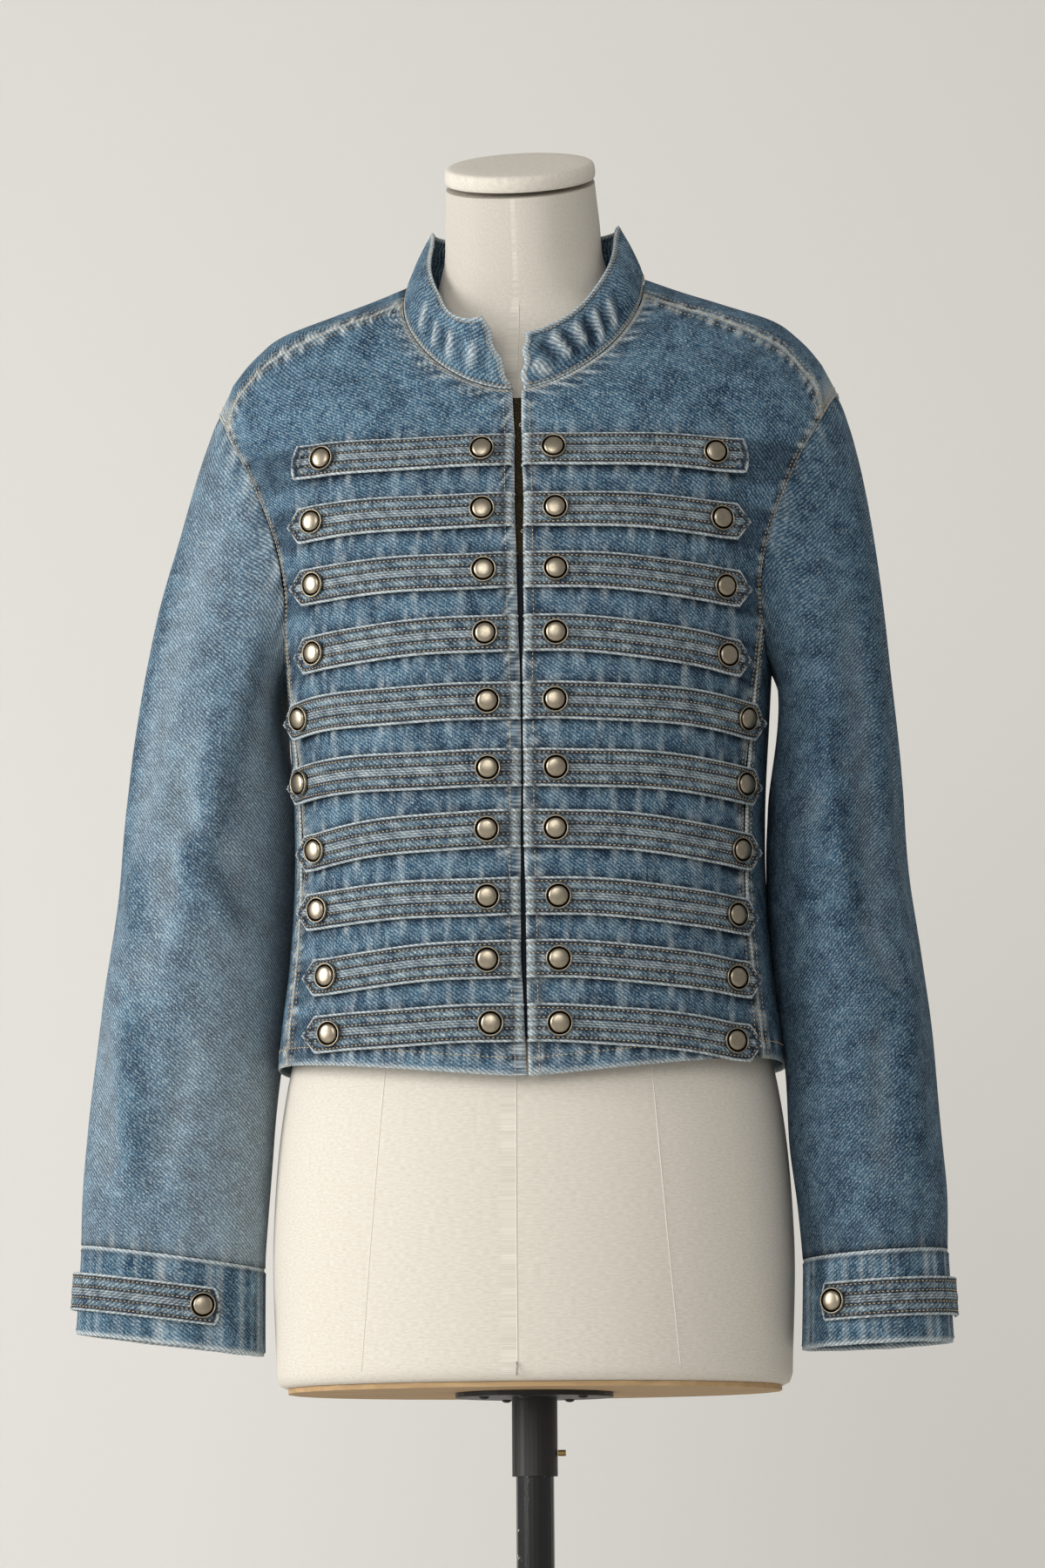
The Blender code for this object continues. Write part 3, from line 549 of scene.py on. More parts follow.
# Folds of the fronts, in x and z as worn: two ends, width, depth
FRONT_FOLDS = (
    (-0.172, 1.350, -0.150, 1.215, 0.012, -0.0030),
    (-0.150, 1.372, -0.128, 1.290, 0.010, -0.0014),
    (-0.060, 1.385, -0.150, 1.420, 0.014, -0.0014),
    (-0.118, 1.345, -0.060, 1.352, 0.009, 0.0010),
    (0.160, 1.350, 0.148, 1.215, 0.012, -0.0034),
    (0.135, 1.385, 0.150, 1.300, 0.010, -0.0018),
    (0.050, 1.400, 0.140, 1.415, 0.013, -0.0012),
    (0.070, 1.352, 0.128, 1.345, 0.009, 0.0010),
    (-0.150, 1.180, -0.140, 1.020, 0.012, -0.0022),
    (0.148, 1.190, 0.140, 1.000, 0.012, -0.0026),
    (-0.020, 1.345, -0.050, 1.375, 0.007, -0.0009),
    (0.030, 1.350, 0.052, 1.384, 0.007, -0.0010),
)
HEM_TURN, HEM_TURN_LIFT = 0.0115, 0.0007
EDGE_TURN = 0.007
TURN_SOFTNESS = 0.0006
FELL = 0.0065
SEAM_ROWS = (0.0016, 0.0066)
NECK_ROW = 0.0022


def tab_height(side, row, x):
    """Height of a tab's middle line at a distance from the centre."""
    start_z, right_z, right_tip, left_z, left_tip = row
    outer_z, tip = (right_z, right_tip) if side < 0 else (left_z, left_tip)
    return start_z + (outer_z - start_z) * np.clip(x / (abs(tip) - FREE_END), 0, 1) ** 2


def front_grid(side):
    rows, columns = SIDE_STEPS * FRONT_FINE, SHOULDER_STEPS * FRONT_FINE
    edge = even(closing_line(side), rows)
    left = np.concatenate((edge, even(neck_front(side), NECK_STEPS * FRONT_FINE)[1:]))
    right = np.concatenate((even(side_line(), rows),
                            armhole_run(UNDERARM, SHOULDER_END, FRONT_FINE)[1:]))
    hem = np.linspace(edge[0][0], HEM_SEAM_ANGLE, 24)
    return patch(left, right, even(np.stack((hem, hem_height(hem)), 1), columns),
                 even(shoulder_line(), columns))


def front_relief(side, grid, points):
    """Height of folds, hem and edge turnings, roped seams and puffs between the tabs."""
    x, z = points[..., 0], points[..., 2]
    from_edge, from_hem, from_side, from_top = from_borders(points)
    lift = creases(side * x, z, FRONT_FOLDS)
    seed = 1.0 if side < 0 else 4.0
    rows = np.arange(len(x))[:, None]
    on_neck = rows >= SIDE_STEPS * FRONT_FINE
    borders = ((from_edge, from_hem, EDGE_TURN, seed), (from_hem, from_edge, HEM_TURN, seed + 1),
               (from_side, from_hem, FELL, seed + 2), (from_top, from_edge, FELL, seed + 3))
    rope, wear_and_painted_light, dark = seam_relief(borders)
    turned = nearer(from_hem, HEM_TURN, TURN_SOFTNESS) * HEM_TURN_LIFT
    turned += nearer(from_edge, EDGE_TURN, TURN_SOFTNESS) * 0.0005 * ~on_neck
    for number, row in enumerate(TABS):
        gap = np.abs(z - tab_height(side, row, x)) - TAB_WIDTH / 2
        reach = abs(row[2] if side < 0 else row[4])
        beside = (gap > -0.002) * np.exp(-np.clip(gap, 0, 1) / 0.0045)
        beside = beside * np.clip((reach - x) / 0.012, 0, 1)
        wave = ripple(x + 0.013 * number, seed + number, (0.0135, 0.0079, 0.0052, 0.034))
        rope += beside * wave * 0.0006 - beside * 0.0004
        # Painted shade darkens a band on the panel along each tab's edges; the pucker troughs beside the
        # tabs are darker too.
        dark += beside * np.clip(0.55 - wave, 0, 1) * 0.6 + bell(np.clip(gap, 0, 1), 0, 0.0022) * 0.55
        wear_and_painted_light += beside * np.clip(wave - 0.1, 0, 1) * 0.9
    return lift + rope + turned, wear_and_painted_light, dark


front_points = {}
for side, name in ((-1, "front_right"), (1, "front_left")):
    grid = front_grid(side)
    grid[:, -1, 0] -= 0.06
    grid[-1, :, 1] -= 0.0002
    flat = on_body(grid)
    lift, wear_and_painted_light, dark = front_relief(side, grid, flat)
    points = flat + normals_of(flat) * lift[..., None]
    uv = cloth_uv(grid, side)
    front_points[side] = points * (side, 1, 1)
    made = cloth_object(f"denim_{name}", [(front_points[side], uv, wear_and_painted_light, dark)], PLY, denim,
                        flip=side < 0)
    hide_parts(name)

# The left front's facing lies behind the opening: a dark brown twill sheet whose colour is painted
# shade for the shadow in the gap, with more painted shade darkening it below the chest, so that the gap
# reads as a dark line.
FACING_DEPTH = 0.0022     # from the inside of the fronts
FACING_OVERLAP = 0.006    # behind each closing edge
facing_painted_as_shade = washed_denim("facing_twill_painted_as_shade", "#191309", "#2E2617", "#55482F", 2.1, 0.00020)
facing_z = np.linspace(0.9400, 1.3690, 109)[:, None]
right_x, left_x = (np.interp(facing_z, CLOSURE[:, 0], CLOSURE[:, k]) for k in (1, 2))
facing_x = right_x - FACING_OVERLAP + (left_x - right_x + 2 * FACING_OVERLAP) * np.linspace(0, 1, 9)[None]
facing = on_body(np.stack(np.broadcast_arrays(angle_at(np.abs(facing_x), facing_z), facing_z), -1))
facing = facing * np.stack((np.sign(facing_x), 1 + 0 * facing_x, 1 + 0 * facing_x), -1)
facing += (0.0, PLY + FACING_DEPTH, 0.0)
# The dark attribute here is painted shade, growing below 1.26 m up to 0.8.
made = cloth_object("denim_front_facing", [(facing, facing[..., [0, 2]], 0 * facing_x,
                                            np.clip((1.26 - facing[..., 2]) / 0.03, 0, 0.8))],
                    0.0010, facing_painted_as_shade)

# Folds of the back, in x and z: a shallow hollow between the shoulder blades and drag lines
BACK_FOLDS = (
    (-0.120, 1.360, -0.070, 1.180, 0.016, -0.0026),
    (0.120, 1.355, 0.075, 1.190, 0.015, -0.0024),
    (-0.030, 1.130, -0.120, 1.085, 0.014, -0.0022),
    (0.020, 1.120, 0.115, 1.080, 0.013, -0.0020),
    (-0.110, 1.020, -0.020, 1.045, 0.012, -0.0016),
    (0.100, 1.010, 0.015, 1.030, 0.012, -0.0016),
    (-0.050, 0.990, -0.060, 0.945, 0.010, -0.0014),
    (0.060, 0.985, 0.052, 0.945, 0.010, -0.0014),
    (-0.060, 1.430, 0.060, 1.432, 0.012, -0.0010),
)


def back_grids():
    """Back in (angle, height): below the armholes, between them, and over each shoulder."""
    hem = np.linspace(HEM_SEAM_ANGLE, 360 - HEM_SEAM_ANGLE, 97)
    hem_line = np.stack((hem, hem_height(180 - np.abs(180 - hem))), 1)
    seam = even(shoulder_line()[::-1], SHOULDER_STEPS * BACK_FINE)
    reach = on_body(seam)[:, 0]
    ridge = np.array([armhole(0.0)] + [(90, height_at(x, 90)) for x in reach[1:]])
    half = np.concatenate((ridge, even(neck_back()[8:], NAPE_STEPS * BACK_FINE)[1:]))
    top = np.concatenate((half, mirror(half)[::-1][1:]))
    scoop = armhole_run(UNDERARM, SCOOP_END, BACK_FINE)
    across = even([scoop[-1], mirror(scoop)[-1]], len(top) - 1)
    underarm = np.concatenate((scoop[:-1], across, mirror(scoop)[::-1][1:]))
    side = even(side_line(), SIDE_STEPS * BACK_FINE)
    lower = patch(side, mirror(side), even(hem_line, len(underarm) - 1), underarm)
    hole = armhole_run(SCOOP_END, 1.0, BACK_FINE)
    between = patch(hole, mirror(hole), across, top)
    rows = []
    for i, edge in enumerate(armhole_run(0.0, SHOULDER_END, BACK_FINE)):
        angle = ridge[:, 0] + (seam[:, 0] - ridge[:, 0]) * i / (3 * BACK_FINE)
        height = [edge[1]] + [height_at(x, a) for x, a in zip(reach[1:], angle[1:])]
        rows.append(np.stack((np.concatenate((edge[:1], angle[1:])), height), 1))
    rows[0], rows[-1] = ridge, seam
    strip = np.array(rows)
    return lower, between, strip, mirror(strip)[:, ::-1]


back_parts = back_grids()
blocks, back_points = [], []
for number, grid in enumerate(back_parts):
    flat = on_body(grid)
    x, z = flat[..., 0], flat[..., 2]
    from_left, from_low, from_right, from_high = from_borders(flat)
    lift = creases(x, z, BACK_FOLDS) * (flat[..., 1] > 0) * (number < 2)
    if number == 0:
        borders = ((from_low, from_left, HEM_TURN), (from_left, from_low, FELL),
                   (from_right, from_low, FELL))
    elif number == 1:
        borders = ((from_left, from_low, FELL), (from_right, from_low, FELL))
    else:
        borders = ((from_high, from_left, FELL * 0.6),
                   ((from_left if number == 2 else from_right), from_low, FELL))
    rope, wear_and_painted_light, dark = seam_relief([border + (7.0 + number,) for border in borders])
    points = flat + normals_of(flat) * (lift + rope)[..., None]
    if number == 0:
        hem_turned = nearer(from_low, HEM_TURN, TURN_SOFTNESS) * HEM_TURN_LIFT
        points += normals_of(flat) * hem_turned[..., None]
    # Block borders that meet another block keep the plain surface, so that they join.
    if number in (0, 1):
        edge_row = -1 if number == 0 else 0
        points[edge_row] = flat[edge_row]
    if number == 1:
        points[-1] = flat[-1]
    if number > 1:
        points[0] = flat[0]
    blocks.append((points, cloth_uv(grid), wear_and_painted_light, dark))
    back_points.append(points)
made = cloth_object("denim_back", blocks, PLY, denim)
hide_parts("back")


# ---------------------------------------------------------------------------------------------
# The ten tabs of each front
# Doubled twill folded over cord, topstitched in four rows and pointed at the outer end. Each is
# caught in the closing edge, where its ribs roll over, and is held at the other end by a button.
TAB_HEIGHT = 0.0034       # top of a tab over the panel
ROLL = 0.0030             # radius of a tab's rolled end at the closing edge
ROLL_ROWS, LAID_ROWS = 9, 34
TAB_POINT = 0.010
BLUNT_POINT = 0.25        # share of the point's length on the top row and the cuffs
FREE_STRETCH = 1.02       # the free end goes straight on, where the panel curves away
INNER_BUTTON = 0.0205     # from the closing edge to the inner button
STITCH_ROWS = (0.0036, 0.0095)
CORDS = (-0.0018, 0.0, 0.0018)
TAB_COLUMNS = np.array((0, .06, .125, .185, .24, .29, .36, .46, .58, .68, .735, .76, .79, .83, .87, .91,
                        .95, .98, 1.0))
TAB_COLUMNS = np.concatenate((-TAB_COLUMNS[:0:-1], TAB_COLUMNS)) * TAB_WIDTH / 2
tab_denim = washed_denim("topstitched_twill_tabs", "#234057", "#5C7A8A", "#D3DCDB", 2.3, 0.00044)


def front_frame(x, height):
    """Point on the front at each x and height, its outward, sideways and upward directions."""
    x, height = np.broadcast_arrays(np.asarray(x, float), np.asarray(height, float))
    angle = angle_at(x, height)
    here = on_body(np.stack((angle, height), -1))
    across = on_body(np.stack((angle + 0.6, height), -1)) - on_body(np.stack((angle - 0.6, height), -1))
    rise = on_body(np.stack((angle, height + 0.003), -1)) - on_body(np.stack((angle, height - 0.003), -1))
    normal = np.cross(across, rise)
    normal /= np.linalg.norm(normal, axis=-1, keepdims=True)
    across /= np.linalg.norm(across, axis=-1, keepdims=True)
    return here, normal, across, np.cross(normal, across)


def edge_x(side, height):
    return np.interp(height, CLOSURE[:, 0], CLOSURE[:, 1 if side < 0 else 2]) + TAB_START


def tab_spine(side, row):
    """Rows along a tab: base point, outward, along and up directions, distance and roll angle."""
    start = edge_x(side, row[0])
    tip = abs(row[2] if side < 0 else row[4])
    x = np.linspace(start + ROLL, tip - FREE_END, LAID_ROWS)
    p, n, a, u = front_frame(x, tab_height(side, row, x))
    free = np.concatenate((np.linspace(0, FREE_END - TAB_POINT, 5)[1:],
                           FREE_END - TAB_POINT * (1 - np.linspace(0, 1, 11)[1:])))
    p = np.concatenate((np.repeat(p[:1], ROLL_ROWS, 0), p, p[-1] + a[-1] * free[:, None] * FREE_STRETCH))
    n, a, u = (np.concatenate((np.repeat(v[:1], ROLL_ROWS, 0), v, np.repeat(v[-1:], len(free), 0)))
               for v in (n, a, u))
    roll = np.radians(np.linspace(122, 6, ROLL_ROWS))
    roll = np.concatenate((roll, np.zeros(LAID_ROWS + len(free))))
    s = np.concatenate(([0], np.cumsum(np.linalg.norm(np.diff(p, axis=0), axis=1)))) + ROLL
    s[:ROLL_ROWS] = ROLL - ROLL * roll[:ROLL_ROWS]
    return p, n, a, u, s, roll


def free_lift(s, tip_s, seed):
    """How far a tab's free end stands off the panel, beyond its button."""
    free = np.clip((s - (tip_s - FREE_END * FREE_STRETCH)) / FREE_END, 0, 1)
    return 0.0016 * free ** 2 * (1 + 0.6 * math.sin(seed * 2.7))


def tab_surface(spine, v, relief):
    """Points at distances v from a tab's middle line, with relief over its smooth top."""
    p, n, a, u, _, roll = (np.asarray(part)[:, None] for part in spine)
    turn = roll[..., None]
    out = np.where(turn > 0, n * np.cos(turn) - a * np.sin(turn), n)
    return p + n * (TAB_HEIGHT - ROLL) + out * (ROLL + relief)[..., None] + u * v[..., None]


def tab_relief(s, v, tip_s, seed, blunt, caught=True):
    """Height, wear and darkening of a tab's top from the distance along it and across it; the darkening
    is partly the wash and partly painted shade.
    """
    point = TAB_POINT * (BLUNT_POINT if blunt else 1.0)
    slope = math.atan2(TAB_WIDTH / 2, point)
    to_tip = (tip_s - s) * math.sin(slope) - np.abs(v) * math.cos(slope)
    d = np.minimum(TAB_WIDTH / 2 - np.abs(v), np.maximum(to_tip, 0))
    wave = ripple(s + v * 0.35, seed, (0.0062, 0.0091, 0.0047, 0.017))
    relief = 0.00034 * bell(d, 0.0010, 0.0008) - 0.0011 * np.exp(-d / 0.00030)
    groove = np.zeros_like(d)
    for row in STITCH_ROWS:
        at = np.abs(v) - row if row < 0.005 else TAB_WIDTH / 2 - row - d
        groove += bell(at, 0, 0.00105)
    relief -= 0.00036 * groove
    cord = sum(bell(v, c, 0.00045) for c in CORDS) * (np.abs(v) < 0.0030)
    body = 1 / (1 + np.exp((EDGE_TURN - s) / 0.0004)) if caught else np.ones_like(s)
    relief += body * (0.00030 * cord + 0.00016 * wave * (1 - groove))
    wear_and_painted_light = bell(d, 0, 0.0016) * 1.9 + body * (0.70 * cord + 0.30 * np.clip(wave, 0, 1))
    # Painted shade darkens the stitch grooves, the hollows between the cords and the trough inside the
    # piping; the pucker troughs are darker too.
    dark = body * (1.25 * groove + 0.45 * np.clip(-wave, 0, 1))
    between = bell(np.abs(v), 0.0009, 0.0003) + bell(np.abs(v), 0.0026, 0.0003)
    dark = dark + body * (0.9 * bell(d, 0.0020, 0.0005) + 0.7 * between)
    # Between the edge stitching and the rolled end the ribs puff up, split by one pleat; painted shade
    # darkens the pleat, the grooves there and the bite of the edge stitching.
    pleat = bell(v, 0.0009, 0.00035)
    puff = (1 - body) * (0.00045 - 0.00075 * groove - 0.0010 * pleat)
    bite = bell(s, EDGE_TURN, 0.00065) * caught
    wear_and_painted_light = wear_and_painted_light + (1 - body) * (0.62 - 0.3 * groove)
    dark = dark + (1 - body) * (0.35 * groove + 0.9 * pleat) + 0.8 * bite
    return relief + puff - 0.0004 * bite, wear_and_painted_light, dark


tab_spines = {}
for side, label in ((-1, "right"), (1, "left")):
    for number, row in enumerate(TABS, 1):
        spine = tab_spine(side, row)
        s = spine[4]
        tip_s = s[-1]
        blunt = number == 1
        reach = np.clip((tip_s - s) / TAB_POINT, 0.02, 1)
        if blunt:
            reach = np.sqrt(1 - (1 - np.clip((tip_s - s) / 0.004, 0.02, 1)) ** 2)
        v = TAB_COLUMNS[None, :] * reach[:, None]
        seed = number * 1.3 + side
        relief, wear_and_painted_light, dark = tab_relief(s[:, None], v, tip_s, seed, blunt)
        sway = 0.0004 * np.sin(s * 62 + seed)[:, None] * np.clip(s / 0.03, 0, 1)[:, None]
        points = tab_surface(spine, v + sway, relief)
        points += spine[1][:, None] * free_lift(s, tip_s, seed)[:, None, None]
        points *= (side, 1, 1)
        uv = np.stack(np.broadcast_arrays(s[:, None] * side, v), -1) + (0.1 * number, 0.031 * number)
        made = cloth_object(f"tab_{label}_{number}_twill", [(points, uv, wear_and_painted_light, dark)], 0.0014,
                            tab_denim, flip=side > 0)
        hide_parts(f"tab_{label}_{number}")
        tab_spines[label, number] = spine


# ---------------------------------------------------------------------------------------------
# Topstitching
# Tan polyester-wrapped thread in 3 mm stitches: four rows along every tab, and one or two beside
# every seam, hem and edge.
STITCH = 0.0030
THREAD_LIFT = 0.00022     # of a tab's stitches over its cloth
THREAD_RADIUS = 0.00033   # real thread is 0.3 mm across; twice as thick here so that it shows


tan_thread = mottled("tan_wrapped_thread", "#A0815A", "#E6D6B4", 160.0, 2.0, 0.7)


def stitch_object(name, lines, material, pitch=STITCH, radius=THREAD_RADIUS, cover=0.60):
    """Rows of separate stitches along lines of (points, outward directions)."""
    points, faces = [], []
    ring = np.array([(math.cos(a), math.sin(a)) for a in np.linspace(0, 2 * math.pi, 6)[:-1]])
    for line, normal in lines:
        length = np.concatenate(([0], np.cumsum(np.linalg.norm(np.diff(line, axis=0), axis=1))))
        count = int(length[-1] / pitch)
        for k in range(count):
            ends = [np.array([np.interp(at, length, line[:, c]) for c in range(3)])
                    for at in (k * pitch, (k + cover) * pitch)]
            out = np.array([np.interp((k + cover / 2) * pitch, length, normal[:, c]) for c in range(3)])
            run = ends[1] - ends[0]
            size = np.linalg.norm(run)
            if size < pitch * 0.3:
                continue
            run /= size
            beside = np.cross(out, run)
            beside /= np.linalg.norm(beside)
            out = np.cross(run, beside)
            first = len(points)
            points.append(ends[0] - out * radius * 0.6)
            for share in (0.2, 0.8):
                middle = ends[0] + run * size * share + out * radius * 0.35
                points += [middle + radius * (beside * c + out * 0.8 * d) for c, d in ring]
            points.append(ends[1] - out * radius * 0.6)
            for j in range(5):
                n = (j + 1) % 5
                faces.append((first, first + 1 + n, first + 1 + j))
                faces.append((first + 1 + j, first + 1 + n, first + 6 + n, first + 6 + j))
                faces.append((first + 6 + j, first + 6 + n, first + 11))
    mesh = bpy.data.meshes.new(name)
    mesh.from_pydata(points, [], faces)
    return put(name, mesh, material)


def line_beside(points, normals, away, distance, axis, lift=0.00015):
    """Line on a grid at a distance from one border: across every row (1) or column (0)."""
    if axis == 0:
        points, normals, away = points.swapaxes(0, 1), normals.swapaxes(0, 1), away.T
    line, outward = [], []
    for p, n, d in zip(points, normals, away):
        order = np.argsort(d)
        line.append([np.interp(distance, d[order], p[order, c]) for c in range(3)])
        outward.append([np.interp(distance, d[order], n[order, c]) for c in range(3)])
    line, outward = np.array(line), np.array(outward)
    return line + outward * lift, outward


for label, side in (("right", -1), ("left", 1)):
    lines = []
    for number, row in enumerate(TABS, 1):
        spine = tab_spines[label, number]
        s = spine[4]
        tip_s = s[-1]
        seed = number * 1.3 + side
        for row_at in STITCH_ROWS:
            for hand in (-1, 1):
                v = np.full(len(s), row_at * hand)
                if row_at > 0.005:
                    v *= np.clip((tip_s - 0.0034 - s) / (TAB_POINT * 0.74), 0.0, 1)
                keep = s < tip_s - (0.0034 if row_at > 0.005 else 0.0065)
                relief, _, _ = tab_relief(s[:, None], v[:, None], tip_s, seed, number == 1)
                line = tab_surface(spine, v[:, None], relief + THREAD_LIFT)[:, 0]
                line += spine[1] * free_lift(s, tip_s, seed)[:, None]
                roll = spine[5][:, None]
                out = spine[1] * np.cos(roll) - spine[2] * np.sin(roll)
                lines.append(((line * (side, 1, 1))[keep], (out * (side, 1, 1))[keep]))
    stitch_object(f"tab_stitching_{label}", lines, tan_thread)

    points = front_points[side]
    plain = points * (side, 1, 1)
    normal = normals_of(plain) * (side, 1, 1)
    from_edge, from_hem, from_side, from_top = from_borders(points)
    split = SIDE_STEPS * FRONT_FINE
    lines = [line_beside(points[:split], normal[:split], from_edge[:split], EDGE_TURN, 1),
             line_beside(points, normal, from_hem, HEM_TURN, 0),
             line_beside(points[split:], normal[split:], from_edge[split:], NECK_ROW, 1)]
    for distance in SEAM_ROWS:
        lines.append(line_beside(points, normal, from_side, distance, 1))
        lines.append(line_beside(points, normal, from_top, distance, 0))
    stitch_object(f"front_stitching_{label}", lines, tan_thread)


# ---------------------------------------------------------------------------------------------
# Jean buttons
# Cast zinc caps plated antique silver, dark in the groove and polished on dome and rim, with painted
# shade on the rim's foot. Forty on the fronts, two on the cuffs; each is riveted through its tab.
BUTTON = 0.0170 / 2
BUTTON_PROFILE = ((0.0, 0.00480), (0.22, 0.00474), (0.42, 0.00456), (0.58, 0.00428), (0.69, 0.00385),
                  (0.745, 0.00330), (0.762, 0.00215), (0.775, 0.00150), (0.850, 0.00150),
                  (0.862, 0.00240), (0.882, 0.00330), (0.925, 0.00360), (0.970, 0.00350),
                  (0.994, 0.00300), (1.0, 0.00200), (0.985, 0.00090), (0.92, 0.0))
pewter, tree, shader = new_material("antique_silver_plated_zinc")
tarnish = noise(tree, solid_place(tree), 420.0, 4.0)
groove = add(tree, "ShaderNodeAttribute", attribute_name="groove").outputs["Fac"]
share = maths(tree, "MULTIPLY_ADD", tarnish, 0.45, groove, clamp=True)
feed(tree, shader, {"Base Color": blend(tree, share, "#AEA390", "#0B0A09"), "Metallic": 1.0,
                    "Roughness": remap(tree, tarnish, 0.0, 1.0, 0.24, 0.42)})


def jean_button(name, centre, normal, node=None):
    """One riveted cap standing on the cloth."""
    sides = 28
    normal = np.array(normal) / np.linalg.norm(normal)
    beside = np.cross((0, 0, 1), normal)
    beside /= np.linalg.norm(beside)
    up = np.cross(normal, beside)
    points = [centre + normal * BUTTON_PROFILE[0][1]]
    hollow = [0.0]
    for r, h in BUTTON_PROFILE[1:]:
        for a in np.linspace(0, 2 * math.pi, sides + 1)[:-1]:
            points.append(centre + BUTTON * r * (beside * math.cos(a) + up * math.sin(a)) + normal * h)
            # Low points get 0.9: on the groove's floor that is the antique finish, on the rim's foot and
            # underside it is painted shade.
            hollow.append(max(0.0, min(1.0, 2.2 - abs(r - 0.812) / 0.035)) if h > 0.0017 else 0.9)
    faces = [(0, 1 + j, 1 + (j + 1) % sides) for j in range(sides)]
    for i in range(len(BUTTON_PROFILE) - 2):
        for j in range(sides):
            k, n = 1 + i * sides + j, 1 + i * sides + (j + 1) % sides
            faces.append((k, k + sides, n + sides, n))
    last = 1 + (len(BUTTON_PROFILE) - 2) * sides
    faces.append(tuple(range(last, last + sides))[::-1])
    mesh = bpy.data.meshes.new(name)
    mesh.from_pydata([tuple(p) for p in points], [], faces)
    held = mesh.attributes.new("groove", "FLOAT", "POINT")
    held.data.foreach_set("value", hollow)
    made = put(name, mesh, pewter)
    if node:
        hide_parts(node)
    return made


for label, side in (("right", -1), ("left", 1)):
    for number, row in enumerate(TABS, 1):
        tip = abs(row[2] if side < 0 else row[4])
        for place, x, lift, lean in (("outer", tip - FREE_END, 0.0008, -0.40),
                                     ("inner", edge_x(side, row[0]) + INNER_BUTTON, 0.0001, -0.20)):
            p, n, a, u = front_frame(x, tab_height(side, row, x))
            tilted = n + a * 0.05 * math.sin(number * 2.3 + side + (x > 0.1))
            tilted += u * 0.05 * math.cos(number * 3.1 + x * 90) + (0.0, lean, -0.10)
            jean_button(f"jean_button_{place}_{label}_{number}",
                        (p + n * (TAB_HEIGHT + lift)) * (side, 1, 1), tilted * (side, 1, 1),
                        f"button_{label}_{number}" if place == "outer" else None)


# ---------------------------------------------------------------------------------------------
# Sleeves
# Two-piece sleeves of the same twill, set in with a double row of stitches. They hang from the
# shoulder's point, broad at the elbow, with long soft folds and a few drags towards the cuff.
SLEEVE_FINE = 6
SLEEVES = {
    "right": np.array((
        (1.115, 0.2685, 0.1610, 0.004, 0.066, 0.014),
        (1.050, 0.2755, 0.1650, 0.002, 0.064, 0.010),
        (1.000, 0.2845, 0.1670, -0.001, 0.060, 0.008),
        (0.940, 0.2920, 0.1700, -0.005, 0.055, 0.007),
        (0.880, 0.2975, 0.1730, -0.009, 0.047, 0.007),
        (0.842, 0.2998, 0.1755, -0.011, 0.040, 0.008),
        (0.8112, 0.3003, 0.1775, -0.012, 0.033, 0.0085))),
    "left": np.array((
        (1.115, 0.2465, 0.1610, 0.004, 0.074, 0.012),
        (1.050, 0.2500, 0.1605, 0.001, 0.071, 0.009),
        (1.000, 0.2570, 0.1635, -0.003, 0.066, 0.006),
        (0.940, 0.2645, 0.1690, -0.007, 0.060, 0.004),
        (0.880, 0.2700, 0.1705, -0.011, 0.053, 0.003),
        (0.842, 0.2728, 0.1750, -0.013, 0.048, 0.003),
        (0.8065, 0.2723, 0.1780, -0.014, 0.044, 0.003))),
}
CUFF_ENDS = {"right": (0.7530, 0.3032, 0.1773, -0.013, 0.029, 0.0080),
             "left": (0.7470, 0.2747, 0.1762, -0.015, 0.042, 0.0020)}
# Folds, in distance round from the front towards the outer side (positive) and height as worn
SLEEVE_FOLDS = {
    "right": (
        (0.030, 1.330, 0.050, 1.060, 0.014, 0.0030), (0.062, 1.320, 0.084, 1.020, 0.013, -0.0030),
        (-0.020, 1.240, -0.005, 1.020, 0.012, -0.0040), (0.008, 1.180, 0.030, 0.960, 0.012, 0.0028),
        (-0.030, 1.060, 0.020, 1.120, 0.009, 0.0026), (-0.040, 1.020, 0.016, 1.085, 0.008, -0.0026),
        (0.060, 1.080, 0.020, 1.000, 0.012, -0.0026), (0.070, 0.980, 0.040, 0.850, 0.014, 0.0030),
        (0.034, 1.000, 0.018, 0.840, 0.010, -0.0026), (-0.014, 0.960, 0.004, 0.850, 0.009, 0.0020),
        (0.100, 1.150, 0.110, 0.900, 0.016, -0.0024), (0.150, 1.250, 0.160, 0.950, 0.020, -0.0030),
        (-0.100, 1.150, -0.110, 0.900, 0.018, -0.0026)),
    "left": (
        (0.078, 1.380, 0.074, 1.060, 0.006, 0.0030), (0.055, 1.330, 0.052, 1.060, 0.013, -0.0026),
        (0.030, 1.250, 0.036, 1.000, 0.012, 0.0026), (-0.006, 1.180, 0.010, 1.000, 0.010, -0.0036),
        (-0.030, 1.080, 0.020, 1.130, 0.009, 0.0024), (-0.034, 1.030, 0.022, 1.075, 0.008, -0.0028),
        (0.012, 1.030, 0.056, 0.960, 0.010, 0.0026), (0.050, 1.000, 0.040, 0.850, 0.012, -0.0030),
        (0.020, 0.960, 0.010, 0.840, 0.010, 0.0022), (0.100, 1.200, 0.108, 0.880, 0.015, -0.0026),
        (0.160, 1.240, 0.150, 0.940, 0.020, -0.0030), (-0.100, 1.140, -0.106, 0.900, 0.018, -0.0028)),
}


def oval(section, a):
    """Points round a sleeve's section at angles a: 0 on the outer side, a quarter turn in front."""
    height, outer, inner, y, depth, tilt = section
    return np.stack(((outer + inner) / 2 + (outer - inner) / 2 * np.cos(a), y - depth * np.sin(a),
                     height + tilt * np.cos(a)), axis=-1)


